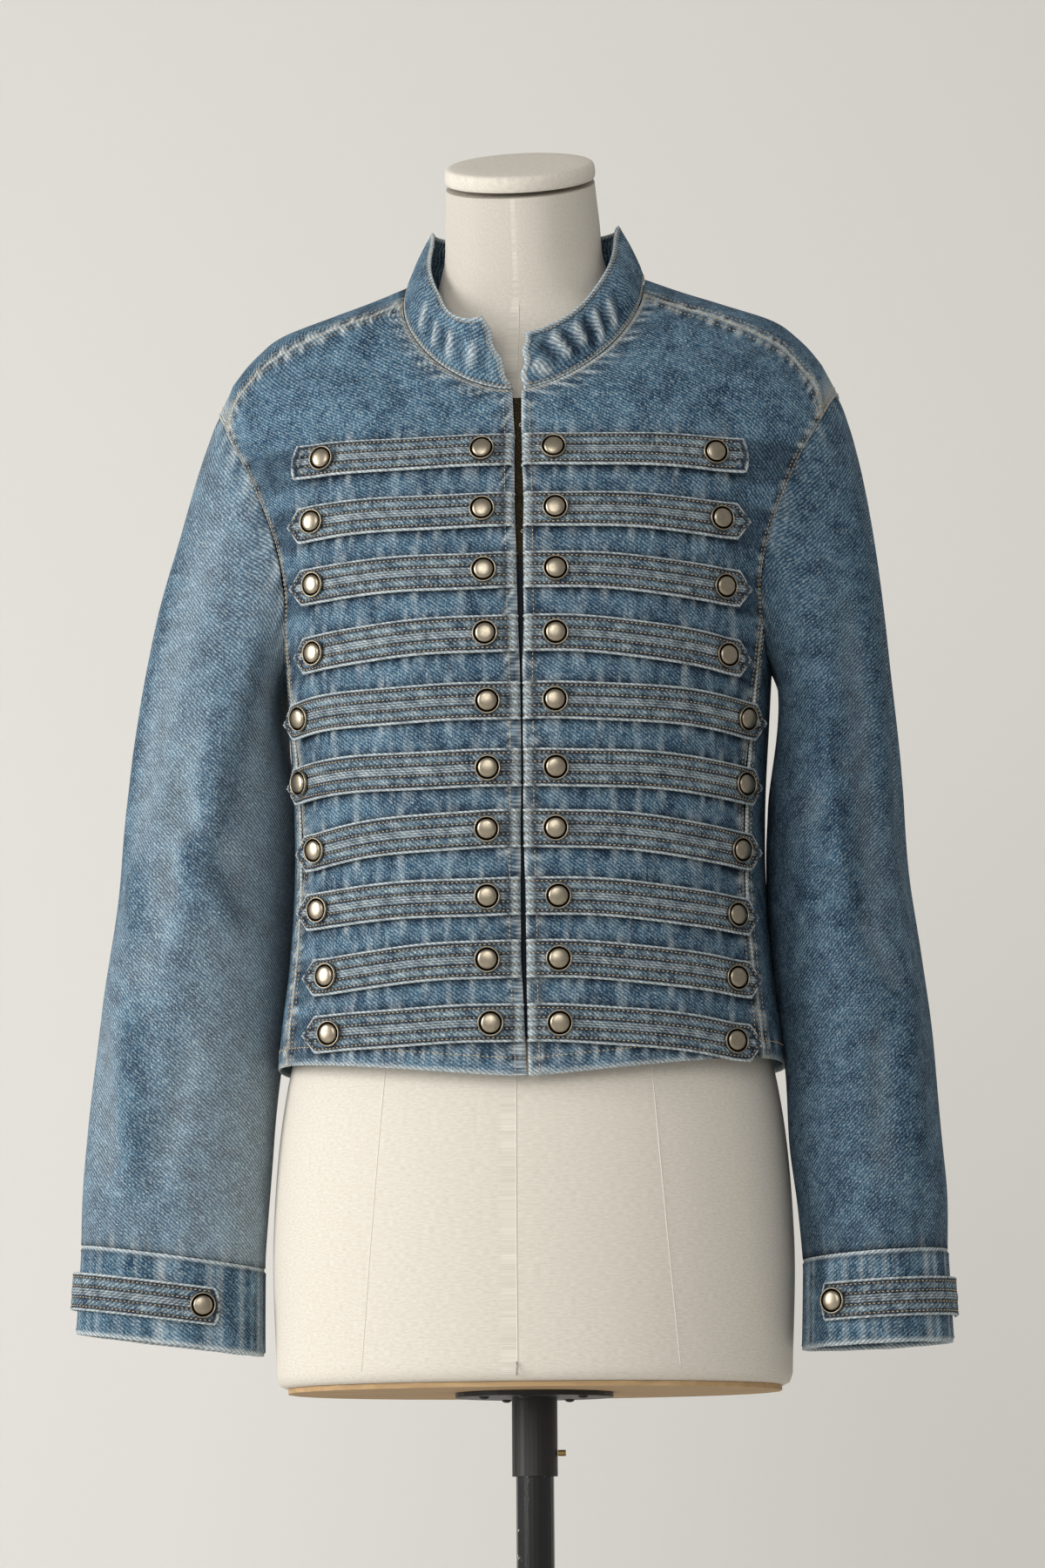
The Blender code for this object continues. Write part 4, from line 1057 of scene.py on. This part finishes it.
def ring(rows, count):
    """A sleeve's rings, one for each row of a table."""
    rows = np.atleast_2d(rows)
    return oval([rows[:, k, None] for k in range(6)], np.linspace(0, 2 * math.pi, count + 1)[None, :-1])


def rings_between(table, steps):
    """Rows eased between the rows of a table, first to last."""
    at = np.linspace(0, 1, steps + 1)
    key = (table[:, 0] - table[0, 0]) / (table[-1, 0] - table[0, 0])
    slopes = np.gradient(table, key, axis=0)
    i = np.clip(np.searchsorted(key, at) - 1, 0, len(key) - 2)
    step = (key[i + 1] - key[i])[:, None]
    t = ((at - key[i]) / step[:, 0])[:, None]
    rise = 3 * t ** 2 - 2 * t ** 3
    return (table[i] * (1 - rise) + table[i + 1] * rise
            + step * (slopes[i] * (t ** 3 - 2 * t ** 2 + t) + slopes[i + 1] * (t ** 3 - t ** 2)))


sleeve_points = {}
for side, label in ((-1, "right"), (1, "left")):
    table = SLEEVES[label]
    count = ARM_STEPS * SLEEVE_FINE
    around = np.linspace(0, 1, count + 1)[:-1]
    hole = on_body(armhole(around))
    inward = (hole.mean(axis=0) - hole) * (0, 1, 1)
    head = hole + 0.0004 * inward / np.linalg.norm(inward, axis=1, keepdims=True) - (0.0012, 0, 0)
    lower = ring(rings_between(table, 76), count)
    down = (ring(table[1], count) - ring(table[0], count)).mean(axis=(0, 1))
    down /= np.linalg.norm(down)
    high = ((1 + np.cos(2 * np.pi * around)) / 2)[:, None]
    leave = head + np.concatenate((0.016 + 0.006 * high, 0 * high, -0.024 - 0.020 * high), axis=1)
    arrive = lower[0] - down * (0.035 + 0.045 * high)
    t = (np.arange(44) / 44)[:, None, None]
    top = ((1 - t) ** 3 * head + 3 * (1 - t) ** 2 * t * leave
           + 3 * (1 - t) * t * t * arrive + t ** 3 * lower[0])
    plain = np.concatenate((top, lower))[::-1]
    outward = normals_of(plain, loop=True)
    girth = 0.36
    z = plain[..., 2]
    c = ((0.25 - around + 0.5) % 1 - 0.5)[None, :] * girth + 0 * z
    lift = sum(creases(c + turn, z, SLEEVE_FOLDS[label]) for turn in (-girth, 0, girth))
    _, from_cuff, _, from_head = from_borders(plain)
    lift *= 1.35 * np.clip(from_head / 0.05, 0, 1) * np.clip(from_cuff / 0.02, 0, 1)
    seed = 11.0 + side
    girth_run = np.broadcast_to(around[None] * girth, z.shape)
    wave = ripple(girth_run, seed, (0.0120, 0.0180, 0.0091, 0.030))
    near_head = np.exp(-from_head / 0.010)
    near_cuff = np.exp(-from_cuff / 0.006)
    lift += 0.0007 * wave * bell(from_head, 0.008, 0.009)
    lift += 0.0005 * ripple(girth_run, seed + 5, (0.0110, 0.0075, 0.0150, 0.027)) * near_cuff
    wear_and_painted_light = 0.5 * near_head * np.clip(wave, 0, 1) + 0.6 * near_cuff * np.clip(wave, 0, 1)
    inner = np.clip(-np.cos(2 * np.pi * around)[None], 0, 1)
    # Painted light brightens the inner side of the wearer's right sleeve; painted shade dulls the
    # wearer's left sleeve. Fold ridges go paler and fold hollows less pale.
    wear_and_painted_light += 0.12 + np.clip(lift / 0.025, -0.08, 0.10) + 0.25 * inner * (side < 0) - 0.1 * (side > 0)
    # Darker in the roped troughs by the armhole, just above the cuff and in fold hollows; painted shade
    # darkens the wearer's left sleeve, most on its inner side.
    dark = 0.7 * near_head * np.clip(-wave, 0, 1) + 0.5 * np.exp(-from_cuff / 0.004)
    dark += np.clip(-lift / 0.014, 0, 0.16) + (0.22 + 0.30 * inner) * (side > 0)
    points = (plain + outward * lift[..., None]) * (side, 1, 1)
    sleeve_points[label] = points, outward * (side, 1, 1)
    uv = np.stack((girth_run, from_cuff), -1)
    made = cloth_object(f"denim_sleeve_{label}", [(points, uv, wear_and_painted_light, dark)], PLY, denim,
                        loop=True, flip=side > 0)
    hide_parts(f"sleeve_{label}")


# ---------------------------------------------------------------------------------------------
# Cuffs and cuff tabs
# Deep doubled bands with a piped top edge and a rolled, worn lower edge. A corded tab is caught
# in the outer seam, comes round to the front of the wrist and is held by one button.
CUFF_TOP_ROW, CUFF_END_ROW = 0.0031, 0.0030
cuff_lines = []
for side, label in ((-1, "right"), (1, "left")):
    end = np.array(CUFF_ENDS[label])
    top = SLEEVES[label][-1].copy()
    top[0] -= 0.00045
    rows = end + (top - end) * np.linspace(0, 1, 41)[:, None]
    count = ARM_STEPS * SLEEVE_FINE
    plain = ring(rows, count)
    outward = normals_of(plain, loop=True)
    around = np.linspace(0, 1, count + 1)[:-1]
    girth = 0.31
    girth_run = np.broadcast_to(around[None] * girth, plain.shape[:2])
    _, from_end, _, from_seam = from_borders(plain)
    seed = 21.0 + side
    wave = ripple(girth_run, seed, (0.0095, 0.0140, 0.0068, 0.026))
    swell = ripple(girth_run, seed + 3, (0.028, 0.041, 0.019, 0.067))
    lift = 0.0006 * bell(from_seam, 0.0011, 0.0010)
    lift += 0.0005 * bell(from_end, 0.0010, 0.0010)
    lift -= 0.0004 * (bell(from_seam, CUFF_TOP_ROW, 0.0007) + bell(from_end, CUFF_END_ROW, 0.0007))
    inside = np.clip(np.minimum(from_end, from_seam) / 0.004, 0, 1)
    lift += inside * (0.00065 * swell + 0.0004 * wave * np.exp(-np.minimum(from_end, from_seam) / 0.009))
    wear_and_painted_light = bell(from_seam, 0, 0.0018) * 1.2 + bell(from_end, 0, 0.0018) * 1.3
    wear_and_painted_light += 0.5 * np.clip(wave * 0.7 + swell * 0.5, 0, 1) * inside
    # Painted shade darkens the groove of the top row of stitches; the hollows between the swells are
    # darker too.
    dark = 0.6 * np.clip(-wave * 0.6 - swell * 0.6, 0, 1) * inside + 0.6 * bell(from_seam, 0.0034, 0.001)
    points = (plain + outward * lift[..., None]) * (side, 1, 1)
    uv = np.stack((girth_run, from_end), -1)
    made = cloth_object(f"denim_cuff_{label}", [(points, uv, wear_and_painted_light, dark)], PLY, denim,
                        loop=True, flip=side > 0)
    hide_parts(f"cuff_{label}")
    for away, distance in ((from_seam, CUFF_TOP_ROW), (from_end, CUFF_END_ROW)):
        line, out = line_beside(points, outward * (side, 1, 1), away, distance, 0)
        cuff_lines.append((np.concatenate((line, line[:1])), np.concatenate((out, out[:1]))))

    # The tab runs from the outer seam round to the wrist's front.
    free_at = 0.35 if side < 0 else 0.37
    at = np.concatenate((np.linspace(-0.04, free_at - 0.035, 34),
                         np.linspace(free_at - 0.035, free_at, 12)[1:]))
    turn = at * 2 * np.pi
    low, high = oval(end, turn), oval(top, turn)
    u = (high - low) / np.linalg.norm(high - low, axis=1, keepdims=True)
    a = oval(end, turn + 0.03) - oval(end, turn - 0.03)
    a /= np.linalg.norm(a, axis=1, keepdims=True)
    n = np.cross(u, a)
    n *= np.sign((n * (low - low.mean(axis=0))).sum(axis=1, keepdims=True).mean())
    n /= np.linalg.norm(n, axis=1, keepdims=True)
    p = (low + high) / 2 + n * 0.0009 - u * 0.001
    s = np.concatenate(([0], np.cumsum(np.linalg.norm(np.diff(p, axis=0), axis=1))))
    spine = (p, n, a, u, s, np.zeros(len(s)))
    reach = np.sqrt(1 - (1 - np.clip((s[-1] - s) / 0.005, 0.02, 1)) ** 2)
    v = TAB_COLUMNS[None, :] * reach[:, None]
    seed = 31.0 + side
    relief, wear_and_painted_light, dark = tab_relief(s[:, None], v, s[-1], seed, True, False)
    points = tab_surface(spine, v, relief) * (side, 1, 1)
    uv = np.stack(np.broadcast_arrays(s[:, None] * side, v), -1) + (0.4, 0.07)
    made = cloth_object(f"cuff_tab_{label}_twill", [(points, uv, wear_and_painted_light, dark)], 0.0014, tab_denim,
                        flip=side < 0)
    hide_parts(f"cuff_tab_{label}")
    for row_at in STITCH_ROWS:
        for hand in (-1, 1):
            keep = s < s[-1] - (0.0036 if row_at > 0.005 else 0.0075)
            w = np.full(len(s), row_at * hand)
            relief, _, _ = tab_relief(s[:, None], w[:, None], s[-1], seed, True, False)
            line = tab_surface(spine, w[:, None], relief + THREAD_LIFT)[:, 0] * (side, 1, 1)
            cuff_lines.append((line[keep], (n * (side, 1, 1))[keep]))
    k = int(np.argmin(np.abs(s - (s[-1] - 0.0115))))
    jean_button(f"jean_button_cuff_{label}", (p[k] + n[k] * (TAB_HEIGHT + 0.0002)) * (side, 1, 1),
                n[k] * (side, 1, 1), f"button_cuff_{label}")
stitch_object("cuff_stitching", cuff_lines, tan_thread)


# ---------------------------------------------------------------------------------------------
# Stand collar
# Two layers of twill bagged out, so its top and front edges are rolled and pale. The wearer's
# left half is crushed into slanting creases, the right half stands smoother.
COLLAR_PLY = 0.0022
COLLAR_FINE = 7
COLLAR_ROW = 0.0034
# Angle round the neck from centre front, lean towards the neck, rise, slide to the side
COLLAR_SET = {
    -1: np.array(((0, 0.004, 0.052, 0.020), (25, 0.010, 0.046, 0.012), (55, 0.018, 0.040, 0.004),
                  (90, 0.019, 0.036, 0.0), (180, 0.010, 0.040, 0.0))),
    1: np.array(((0, 0.010, 0.041, 0.002), (25, 0.014, 0.042, 0.003), (55, 0.019, 0.040, 0.002),
                 (90, 0.019, 0.036, 0.0), (180, 0.010, 0.040, 0.0))),
}
# Creases in distance from the front edge and height over the neck seam
COLLAR_CREASES = {
    -1: ((0.010, 0.030, 0.022, 0.008, 0.0028, -0.0009), (0.018, 0.034, 0.030, 0.008, 0.0026, 0.0008),
         (0.032, 0.036, 0.040, 0.008, 0.0030, -0.0009), (0.044, 0.034, 0.050, 0.006, 0.0026, 0.0009),
         (0.056, 0.032, 0.058, 0.006, 0.0030, -0.0010), (0.068, 0.030, 0.068, 0.006, 0.0026, 0.0008),
         (0.080, 0.028, 0.078, 0.006, 0.0028, -0.0008), (0.094, 0.030, 0.090, 0.006, 0.0030, 0.0008)),
    1: ((0.006, 0.020, 0.020, 0.004, 0.0026, 0.0012), (0.010, 0.036, 0.028, 0.010, 0.0030, -0.0017),
        (0.020, 0.038, 0.038, 0.010, 0.0028, 0.0015), (0.030, 0.036, 0.046, 0.006, 0.0030, -0.0020),
        (0.042, 0.036, 0.052, 0.012, 0.0028, 0.0014), (0.054, 0.036, 0.060, 0.004, 0.0032, -0.0023),
        (0.066, 0.034, 0.068, 0.004, 0.0028, 0.0016), (0.076, 0.032, 0.074, 0.004, 0.0030, -0.0014),
        (0.086, 0.030, 0.084, 0.004, 0.0028, 0.0011), (0.098, 0.030, 0.094, 0.004, 0.0030, -0.0010)),
}


def collar_half(side):
    """Neck seam points from a closing edge to centre back, and the collar's set at each."""
    over = even(neck_back()[:9], 3 * COLLAR_FINE)[1:-1]
    line = np.concatenate((even(neck_front(side), NECK_STEPS * COLLAR_FINE), over,
                           even(neck_back()[8:], NAPE_STEPS * COLLAR_FINE)))
    base = on_body(line) * (side, 1, 1)
    flat = (base - (0.0, -0.020, 0.0)) * (1, 1, 0)
    angle = np.degrees(np.arctan2(np.abs(flat[:, 0]), -flat[:, 1]))
    lean, rise, slide = (np.interp(angle, COLLAR_SET[side][:, 0], COLLAR_SET[side][:, c])[:, None]
                         for c in (1, 2, 3))
    inward = -flat / np.linalg.norm(flat, axis=1, keepdims=True)
    start = base + inward * 0.0006 + (0, 0, 0.0012)
    move = inward * lean + np.concatenate((side * slide, 0 * slide, rise), axis=1)
    v = np.linspace(0, 1, 25)[:, None, None]
    wavy = np.exp(-np.arange(len(base)) / 3.0)[None, :, None]
    grid = start + move * v - inward * 0.0015 * 4 * v * (1 - v)
    grid = grid + wavy * np.array((side, 0, 0)) * 0.0011 * np.sin(v * 15.0 + side)
    run = np.concatenate(([0], np.cumsum(np.linalg.norm(np.diff(base, axis=0), axis=1))))
    height = run_length(grid, 0)
    return grid, creases(np.broadcast_to(run, height.shape), height, COLLAR_CREASES[side])


right_half, right_crush = collar_half(-1)
left_half, left_crush = collar_half(1)
plain = np.concatenate((right_half, left_half[:, ::-1][:, 1:]), axis=1)
crush = np.concatenate((right_crush, left_crush[:, ::-1][:, 1:]), axis=1)
outward = -normals_of(plain)
along, from_base, from_end, from_top = from_borders(plain)
edge = np.minimum(from_top, np.minimum(along, from_end))
wave = ripple(along, 41.0, (0.0078, 0.0112, 0.0059, 0.021))
inside = np.clip((np.minimum(edge, from_base) - 0.002) / 0.003, 0, 1)
lift = 1.3 * crush * inside + 0.0006 * bell(edge, 0.0011, 0.0010)
lift -= 0.00045 * bell(edge, 0.0032, 0.0008) + 0.0004 * bell(from_base, NECK_ROW, 0.0008)
lift += inside * 0.00035 * wave * np.exp(-np.minimum(edge, from_base) / 0.008)
wear_and_painted_light = 1.3 * bell(edge, 0, 0.0018) + bell(from_base, 0, 0.0010)
wear_and_painted_light += inside * (np.clip(crush / 0.0010, 0, 0.9) + 0.35 * np.clip(wave, 0, 1) * np.exp(-edge / 0.012))
# Painted shade darkens the sunken rows of stitches along the edges and the neck seam; crease hollows are
# darker too, and crease ridges paler.
stitched = bell(edge, 0.0036, 0.0009) + bell(from_base, 0.0024, 0.0009)
hollows = np.clip(-crush / 0.0014, 0, 0.9) + 0.35 * np.clip(-wave, 0, 1) * np.exp(-from_base / 0.010)
dark = 0.6 * stitched + inside * hollows
points = plain + outward * lift[..., None]
collar = cloth_object("denim_collar", [(points, np.stack((along, from_base), -1), wear_and_painted_light, dark)],
                      COLLAR_PLY, denim, flip=True)
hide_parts("collar")
columns = slice(2, -2)
lines = [line_beside(points[:, columns], outward[:, columns], from_top[:, columns], COLLAR_ROW, 0),
         line_beside(points, outward, from_base, NECK_ROW, 0),
         line_beside(points[1:-2], outward[1:-2], along[1:-2], COLLAR_ROW, 1),
         line_beside(points[1:-2], outward[1:-2], from_end[1:-2], COLLAR_ROW, 1)]
stitch_object("collar_stitching", lines, tan_thread)


# ---------------------------------------------------------------------------------------------
# The back's topstitching
# The same doubled rows follow the side seams, armholes, shoulder seams and hem round the back.
lines = []
for number, points in enumerate(back_points):
    normal = normals_of(points)
    from_left, from_low, from_right, from_high = from_borders(points)
    if number == 0:
        lines.append(line_beside(points, normal, from_low, HEM_TURN, 0))
    if number == 1:
        lines.append(line_beside(points, normal, from_high, NECK_ROW, 0))
    for distance in SEAM_ROWS:
        if number < 3:
            lines.append(line_beside(points, normal, from_left, distance, 1))
        if number != 2:
            lines.append(line_beside(points, normal, from_right, distance, 1))
        if number > 1:
            lines.append(line_beside(points, normal, from_high, distance, 0))
stitch_object("back_stitching", lines, tan_thread)


# ---------------------------------------------------------------------------------------------
# Dress form
# A moulded shell covered in unbleached linen canvas, with seams down the middle and each side
# of its front, tacked to a plywood base with staples and closed by a covered neck cap.
# Form sections: height, half width, front depth, back depth, middle's y, tilt in degrees
FORM = np.array((
    (0.7235, 0.1635, 0.1040, 0.1130, 0.0, 0), (0.7255, 0.1675, 0.1080, 0.1170, 0.0, 0),
    (0.7310, 0.1695, 0.1100, 0.1190, 0.0, 0), (0.8200, 0.1720, 0.1120, 0.1230, 0.0, 0),
    (0.9300, 0.1610, 0.1060, 0.1080, 0.0, 0), (1.0000, 0.1420, 0.0960, 0.0920, 0.0, 0),
    (1.0700, 0.1260, 0.0930, 0.0860, 0.0, 0), (1.1400, 0.1330, 0.1080, 0.0940, 0.0, 0),
    (1.2100, 0.1480, 0.1220, 0.1060, 0.0, 0), (1.2700, 0.1560, 0.1150, 0.1120, 0.0, 0),
    (1.3300, 0.1680, 0.0980, 0.1080, 0.0, 0), (1.3800, 0.1740, 0.0750, 0.0960, 0.0, 0),
    (1.4080, 0.1650, 0.0620, 0.0850, 0.0, 2), (1.4280, 0.1380, 0.0560, 0.0700, -0.001, 5),
    (1.4440, 0.1000, 0.0530, 0.0570, -0.003, 8), (1.4600, 0.0670, 0.0510, 0.0500, -0.007, 12),
    (1.4800, 0.0560, 0.0500, 0.0480, -0.014, 17), (1.5100, 0.0525, 0.0500, 0.0480, -0.026, 23),
    (1.5330, 0.0505, 0.0490, 0.0470, -0.037, 28)))
PRINCESS_SEAM = 0.103     # distance of the side-front seams from the middle at the base
linen, tree, shader = new_material("unbleached_linen_canvas")
place = add(tree, "ShaderNodeUVMap", uv_map="cloth").outputs["UV"]
shake = add(tree, "ShaderNodeTexNoise", {"Vector": place, "Scale": 260.0, "Detail": 2.0})
offset = add(tree, "ShaderNodeVectorMath", {0: shake.outputs["Color"], 1: (0.0009, 0.0009, 0.0)},
             operation="MULTIPLY_ADD")
tree.links.new(place, offset.inputs[2])
axes = add(tree, "ShaderNodeSeparateXYZ", {"Vector": offset.outputs["Vector"]})
# Real yarns lie 0.7 mm apart; 1.1 mm is the finest that still shows.
yarns = [maths(tree, "SINE", maths(tree, "MULTIPLY", axes.outputs[axis], 2 * math.pi / 0.0011))
         for axis in ("X", "Y")]
weave = maths(tree, "MULTIPLY", yarns[0], yarns[1])
slubs = add(tree, "ShaderNodeMapping", {"Vector": place, "Scale": (260.0, 900.0, 1.0)})
slub = noise(tree, slubs.outputs["Vector"], 1.0, 3.0)
ground = blend(tree, remap(tree, slub, 0.3, 0.7), "#D8D0C3", "#E8E2D7")
hollow = remap(tree, weave, -1.0, 0.2, 0.88, 1.0)
shaded = add(tree, "ShaderNodeMix", {0: 1.0, 6: ground, 7: hollow}, data_type="RGBA",
             blend_type="MULTIPLY").outputs[2]
height = maths(tree, "MULTIPLY_ADD", slub, 0.8, weave)
feed(tree, shader, {"Base Color": shaded, "Normal": bump_of(tree, height, 0.00012, 0.8),
                    "Roughness": remap(tree, slub, 0.0, 1.0, 0.80, 0.95),
                    "Specular IOR Level": 0.3})


def form_rings(rows, count):
    height, half, front, back, middle, tilt = (rows[:, k, None] for k in range(6))
    a = np.linspace(0, 2 * math.pi, count + 1)[None, :-1] - math.pi / 2
    c, s = np.cos(a), np.sin(a)
    x = half * np.sign(c) * np.abs(c) ** 0.92
    reach = np.where(s < 0, front, back) * np.sign(s) * np.abs(s) ** 0.92
    slope = np.radians(tilt)
    return np.stack(np.broadcast_arrays(x, middle + reach * np.cos(slope),
                                        height + reach * np.sin(slope)), axis=-1)


def tube_faces(rows, columns):
    """Faces of a closed tube through rings: its sides, then a flat bottom and top."""
    index = np.arange(rows * columns).reshape(rows, columns)
    right = np.roll(index, -1, axis=1)
    quads = np.stack((index[:-1], right[:-1], right[1:], index[1:]), axis=-1).reshape(-1, 4)
    return quads.tolist() + [index[0, ::-1].tolist(), index[-1].tolist()]


def closed_skin(name, rings, uv, material):
    """A closed body through rings, with a flat bottom and top."""
    faces = tube_faces(*rings.shape[:2])
    mesh = bpy.data.meshes.new(name)
    mesh.from_pydata(rings.reshape(-1, 3).tolist(), [], faces)
    layer = mesh.uv_layers.new(name="cloth")
    values = uv.reshape(-1, 2)[np.array([loop.vertex_index for loop in mesh.loops])]
    girth = uv[:, -1, 0].max()
    for face in range(len(faces) - 2):
        four = slice(4 * face, 4 * face + 4)
        if values[four, 0].max() - values[four, 0].min() > girth / 2:
            low = values[four, 0] < girth / 2
            values[four, 0][low] += girth
    layer.data.foreach_set("uv", values.ravel())
    made = put(name, mesh, material)
    mesh.set_sharp_from_angle(angle=math.radians(50))
    return made


body = rings_between(FORM[2:], 150)
rings = form_rings(np.concatenate((FORM[:2], body)), 144)
sweep = np.linspace(0, 2 * math.pi, 145)[:-1] - math.pi / 2
uv = np.stack(np.broadcast_arrays(((sweep + math.pi / 2) * 0.155)[None], run_length(rings, 0)), -1)
z = rings[..., 2]
share = np.interp(z, (0.72, 1.07, 1.28, 1.42), (1.0, 0.72, 0.80, 0.55))
torso = closed_skin("linen_torso", rings, uv, linen)
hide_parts("form_torso")

CAP_SLOPE = math.radians(28)
CAP_RADIUS = 0.0505
CAP_Y, CAP_Z = -0.0387, 1.5362
cap_rings = []
for scale, height in ((1.0, 0.0), (1.012, 0.0012), (1.016, 0.0030), (1.014, 0.0062), (1.006, 0.0084),
                      (0.990, 0.0098), (0.965, 0.0106), (0.92, 0.0110), (0.70, 0.0112), (0.35, 0.0113)):
    half = CAP_RADIUS * scale
    a = np.linspace(0, 2 * math.pi, 97)[:-1] - math.pi / 2
    reach = (half - 0.002) * np.sin(a)
    cap_rings.append(np.stack((half * np.cos(a),
                               CAP_Y + reach * math.cos(CAP_SLOPE) - height * math.sin(CAP_SLOPE),
                               CAP_Z + reach * math.sin(CAP_SLOPE) + height * math.cos(CAP_SLOPE)), -1))
cap_rings = np.array(cap_rings)
cap = closed_skin("linen_neck_cap", cap_rings, cap_rings[..., :2] + 0.3, linen)
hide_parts("form_cap")


def wire(name, path, radius, material, sides=8):
    """A thin bent wire through points."""
    path = np.array(path, float)
    run = np.gradient(path, axis=0)
    run /= np.linalg.norm(run, axis=1, keepdims=True)
    beside = np.cross(run, (0.31, 0.22, 0.92))
    beside /= np.linalg.norm(beside, axis=1, keepdims=True)
    up = np.cross(run, beside)
    a = np.linspace(0, 2 * math.pi, sides + 1)[:-1]
    rings = path[:, None] + radius * (beside[:, None] * np.cos(a)[None, :, None]
                                      + up[:, None] * np.sin(a)[None, :, None])
    mesh = bpy.data.meshes.new(name)
    mesh.from_pydata(rings.reshape(-1, 3).tolist(), [], tube_faces(len(path), sides))
    return put(name, mesh, material)


# The form's seams: fine raised lines of turned linen down the middle and each side of the front.
seam_rows = range(2, 138)
for name, place_x in (("centre", 0.0), ("right", -1.0), ("left", 1.0)):
    path = []
    for k in seam_rows:
        half = rings[k][rings[k][:, 1] < 0]
        half = half[np.argsort(half[:, 0])]
        at = place_x * PRINCESS_SEAM * share[k].mean()
        path.append([np.interp(at, half[:, 0], half[:, c]) if c else at for c in range(3)])
    wire(f"form_seam_{name}", path, 0.00035, linen)

# Staples at the foot of each front seam, and the wires of two eyes in the closing edge.
steel = mottled("drawn_steel_wire", "#8E8B86", "#C9C6C0", 900.0, 2.0, 0.35, 1.0)
for number, (x, y) in enumerate(((-0.1035, -0.0880), (-0.0005, -0.1105), (0.1035, -0.0880)), 1):
    out = np.array((x / 0.1695 ** 2, y / 0.110 ** 2, 0))
    out /= np.linalg.norm(out)
    ring_at = [np.array((x, y, z)) for z in (0.7270, 0.7275, 0.7315, 0.7345, 0.7350)]
    depth = (-0.001, 0.0006, 0.0008, 0.0006, -0.001)
    wire(f"base_staple_{number}", [q + out * d for q, d in zip(ring_at, depth)], 0.0005, steel)
for number, height in enumerate((1.3475, 1.2700), 1):
    x = float(np.interp(height, CLOSURE[:, 0], CLOSURE[:, 2]))
    base, n, a, _ = front_frame(x, height)
    centre = base - n * 0.0010
    path = [centre + a * (0.0018 - 0.0036 * math.sin(t)) + np.array((0, 0, 0.0015 * math.cos(t)))
            for t in np.linspace(0, math.pi, 9)]
    wire(f"closing_eye_{number}", path, 0.00035, steel)


# ---------------------------------------------------------------------------------------------
# Stand
# A plywood base under the form, a black flanged socket screwed to it, and a lacquered steel pole
# chipped to bare metal where the socket has slid, on a heavy round foot.
plywood, tree, shader = new_material("bare_birch_plywood")
grain_place = add(tree, "ShaderNodeMapping", {"Vector": solid_place(tree), "Scale": (14.0, 160.0, 260.0)})
grain = noise(tree, grain_place.outputs["Vector"], 1.0, 5.0, 0.65)
feed(tree, shader, {"Base Color": blend(tree, grain, "#8C6B45", "#CDAE82"), "Roughness": 0.75,
                    "Normal": bump_of(tree, grain, 0.0002)})


def black_paint(name, gloss, chips):
    """Black lacquer on steel; chips show the pale primer under it."""
    made, tree, shader = new_material(name)
    solid = solid_place(tree)
    orange_peel = noise(tree, solid, 700.0, 2.0)
    flaw = noise(tree, solid, 210.0, 6.0, 0.75)
    cluster = noise(tree, solid, 22.0, 2.0)
    chip = remap(tree, maths(tree, "MULTIPLY", flaw, cluster), chips, chips + 0.012)
    feed(tree, shader, {"Base Color": blend(tree, chip, "#141414", "#B9B6B0"),
                        "Roughness": remap(tree, chip, 0.0, 1.0, gloss, 0.7),
                        "Normal": bump_of(tree, orange_peel, 0.00004)})
    return made


satin_black = black_paint("satin_black_powder_coat", 0.48, 0.60)
gloss_black = black_paint("chipped_gloss_black_lacquer", 0.20, 0.345)
brass = mottled("dull_turned_brass", "#6F5A38", "#BFA068", 600.0, 3.0, 0.4, 1.0)
for node, material in (("form_board", plywood), ("stand_socket", satin_black),
                       ("stand_pole", gloss_black), ("stand_foot", satin_black),
                       ("stand_set_screw", brass)):
    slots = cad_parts[node].data.materials
    slots.clear()
    slots.append(material)

# Pan-head screws through the flange.
flange_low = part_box("stand_socket")[1][2] - 0.003
for number, (x, y) in enumerate(((-0.0305, -0.026), (-0.003, -0.042), (0.0345, -0.028),
                                 (0.020, 0.036), (-0.022, 0.036)), 1):
    mesh = bpy.data.meshes.new(f"flange_screw_{number}")
    shape = bmesh.new()
    bmesh.ops.create_uvsphere(shape, u_segments=16, v_segments=8, radius=0.0034)
    for vertex in shape.verts:
        vertex.co.z = -abs(vertex.co.z) * 0.55 if vertex.co.z < 0 else 0.0
    bmesh.ops.translate(shape, verts=shape.verts, vec=(x, y, flange_low))
    shape.to_mesh(mesh)
    shape.free()
    put(f"flange_screw_{number}", mesh, satin_black)
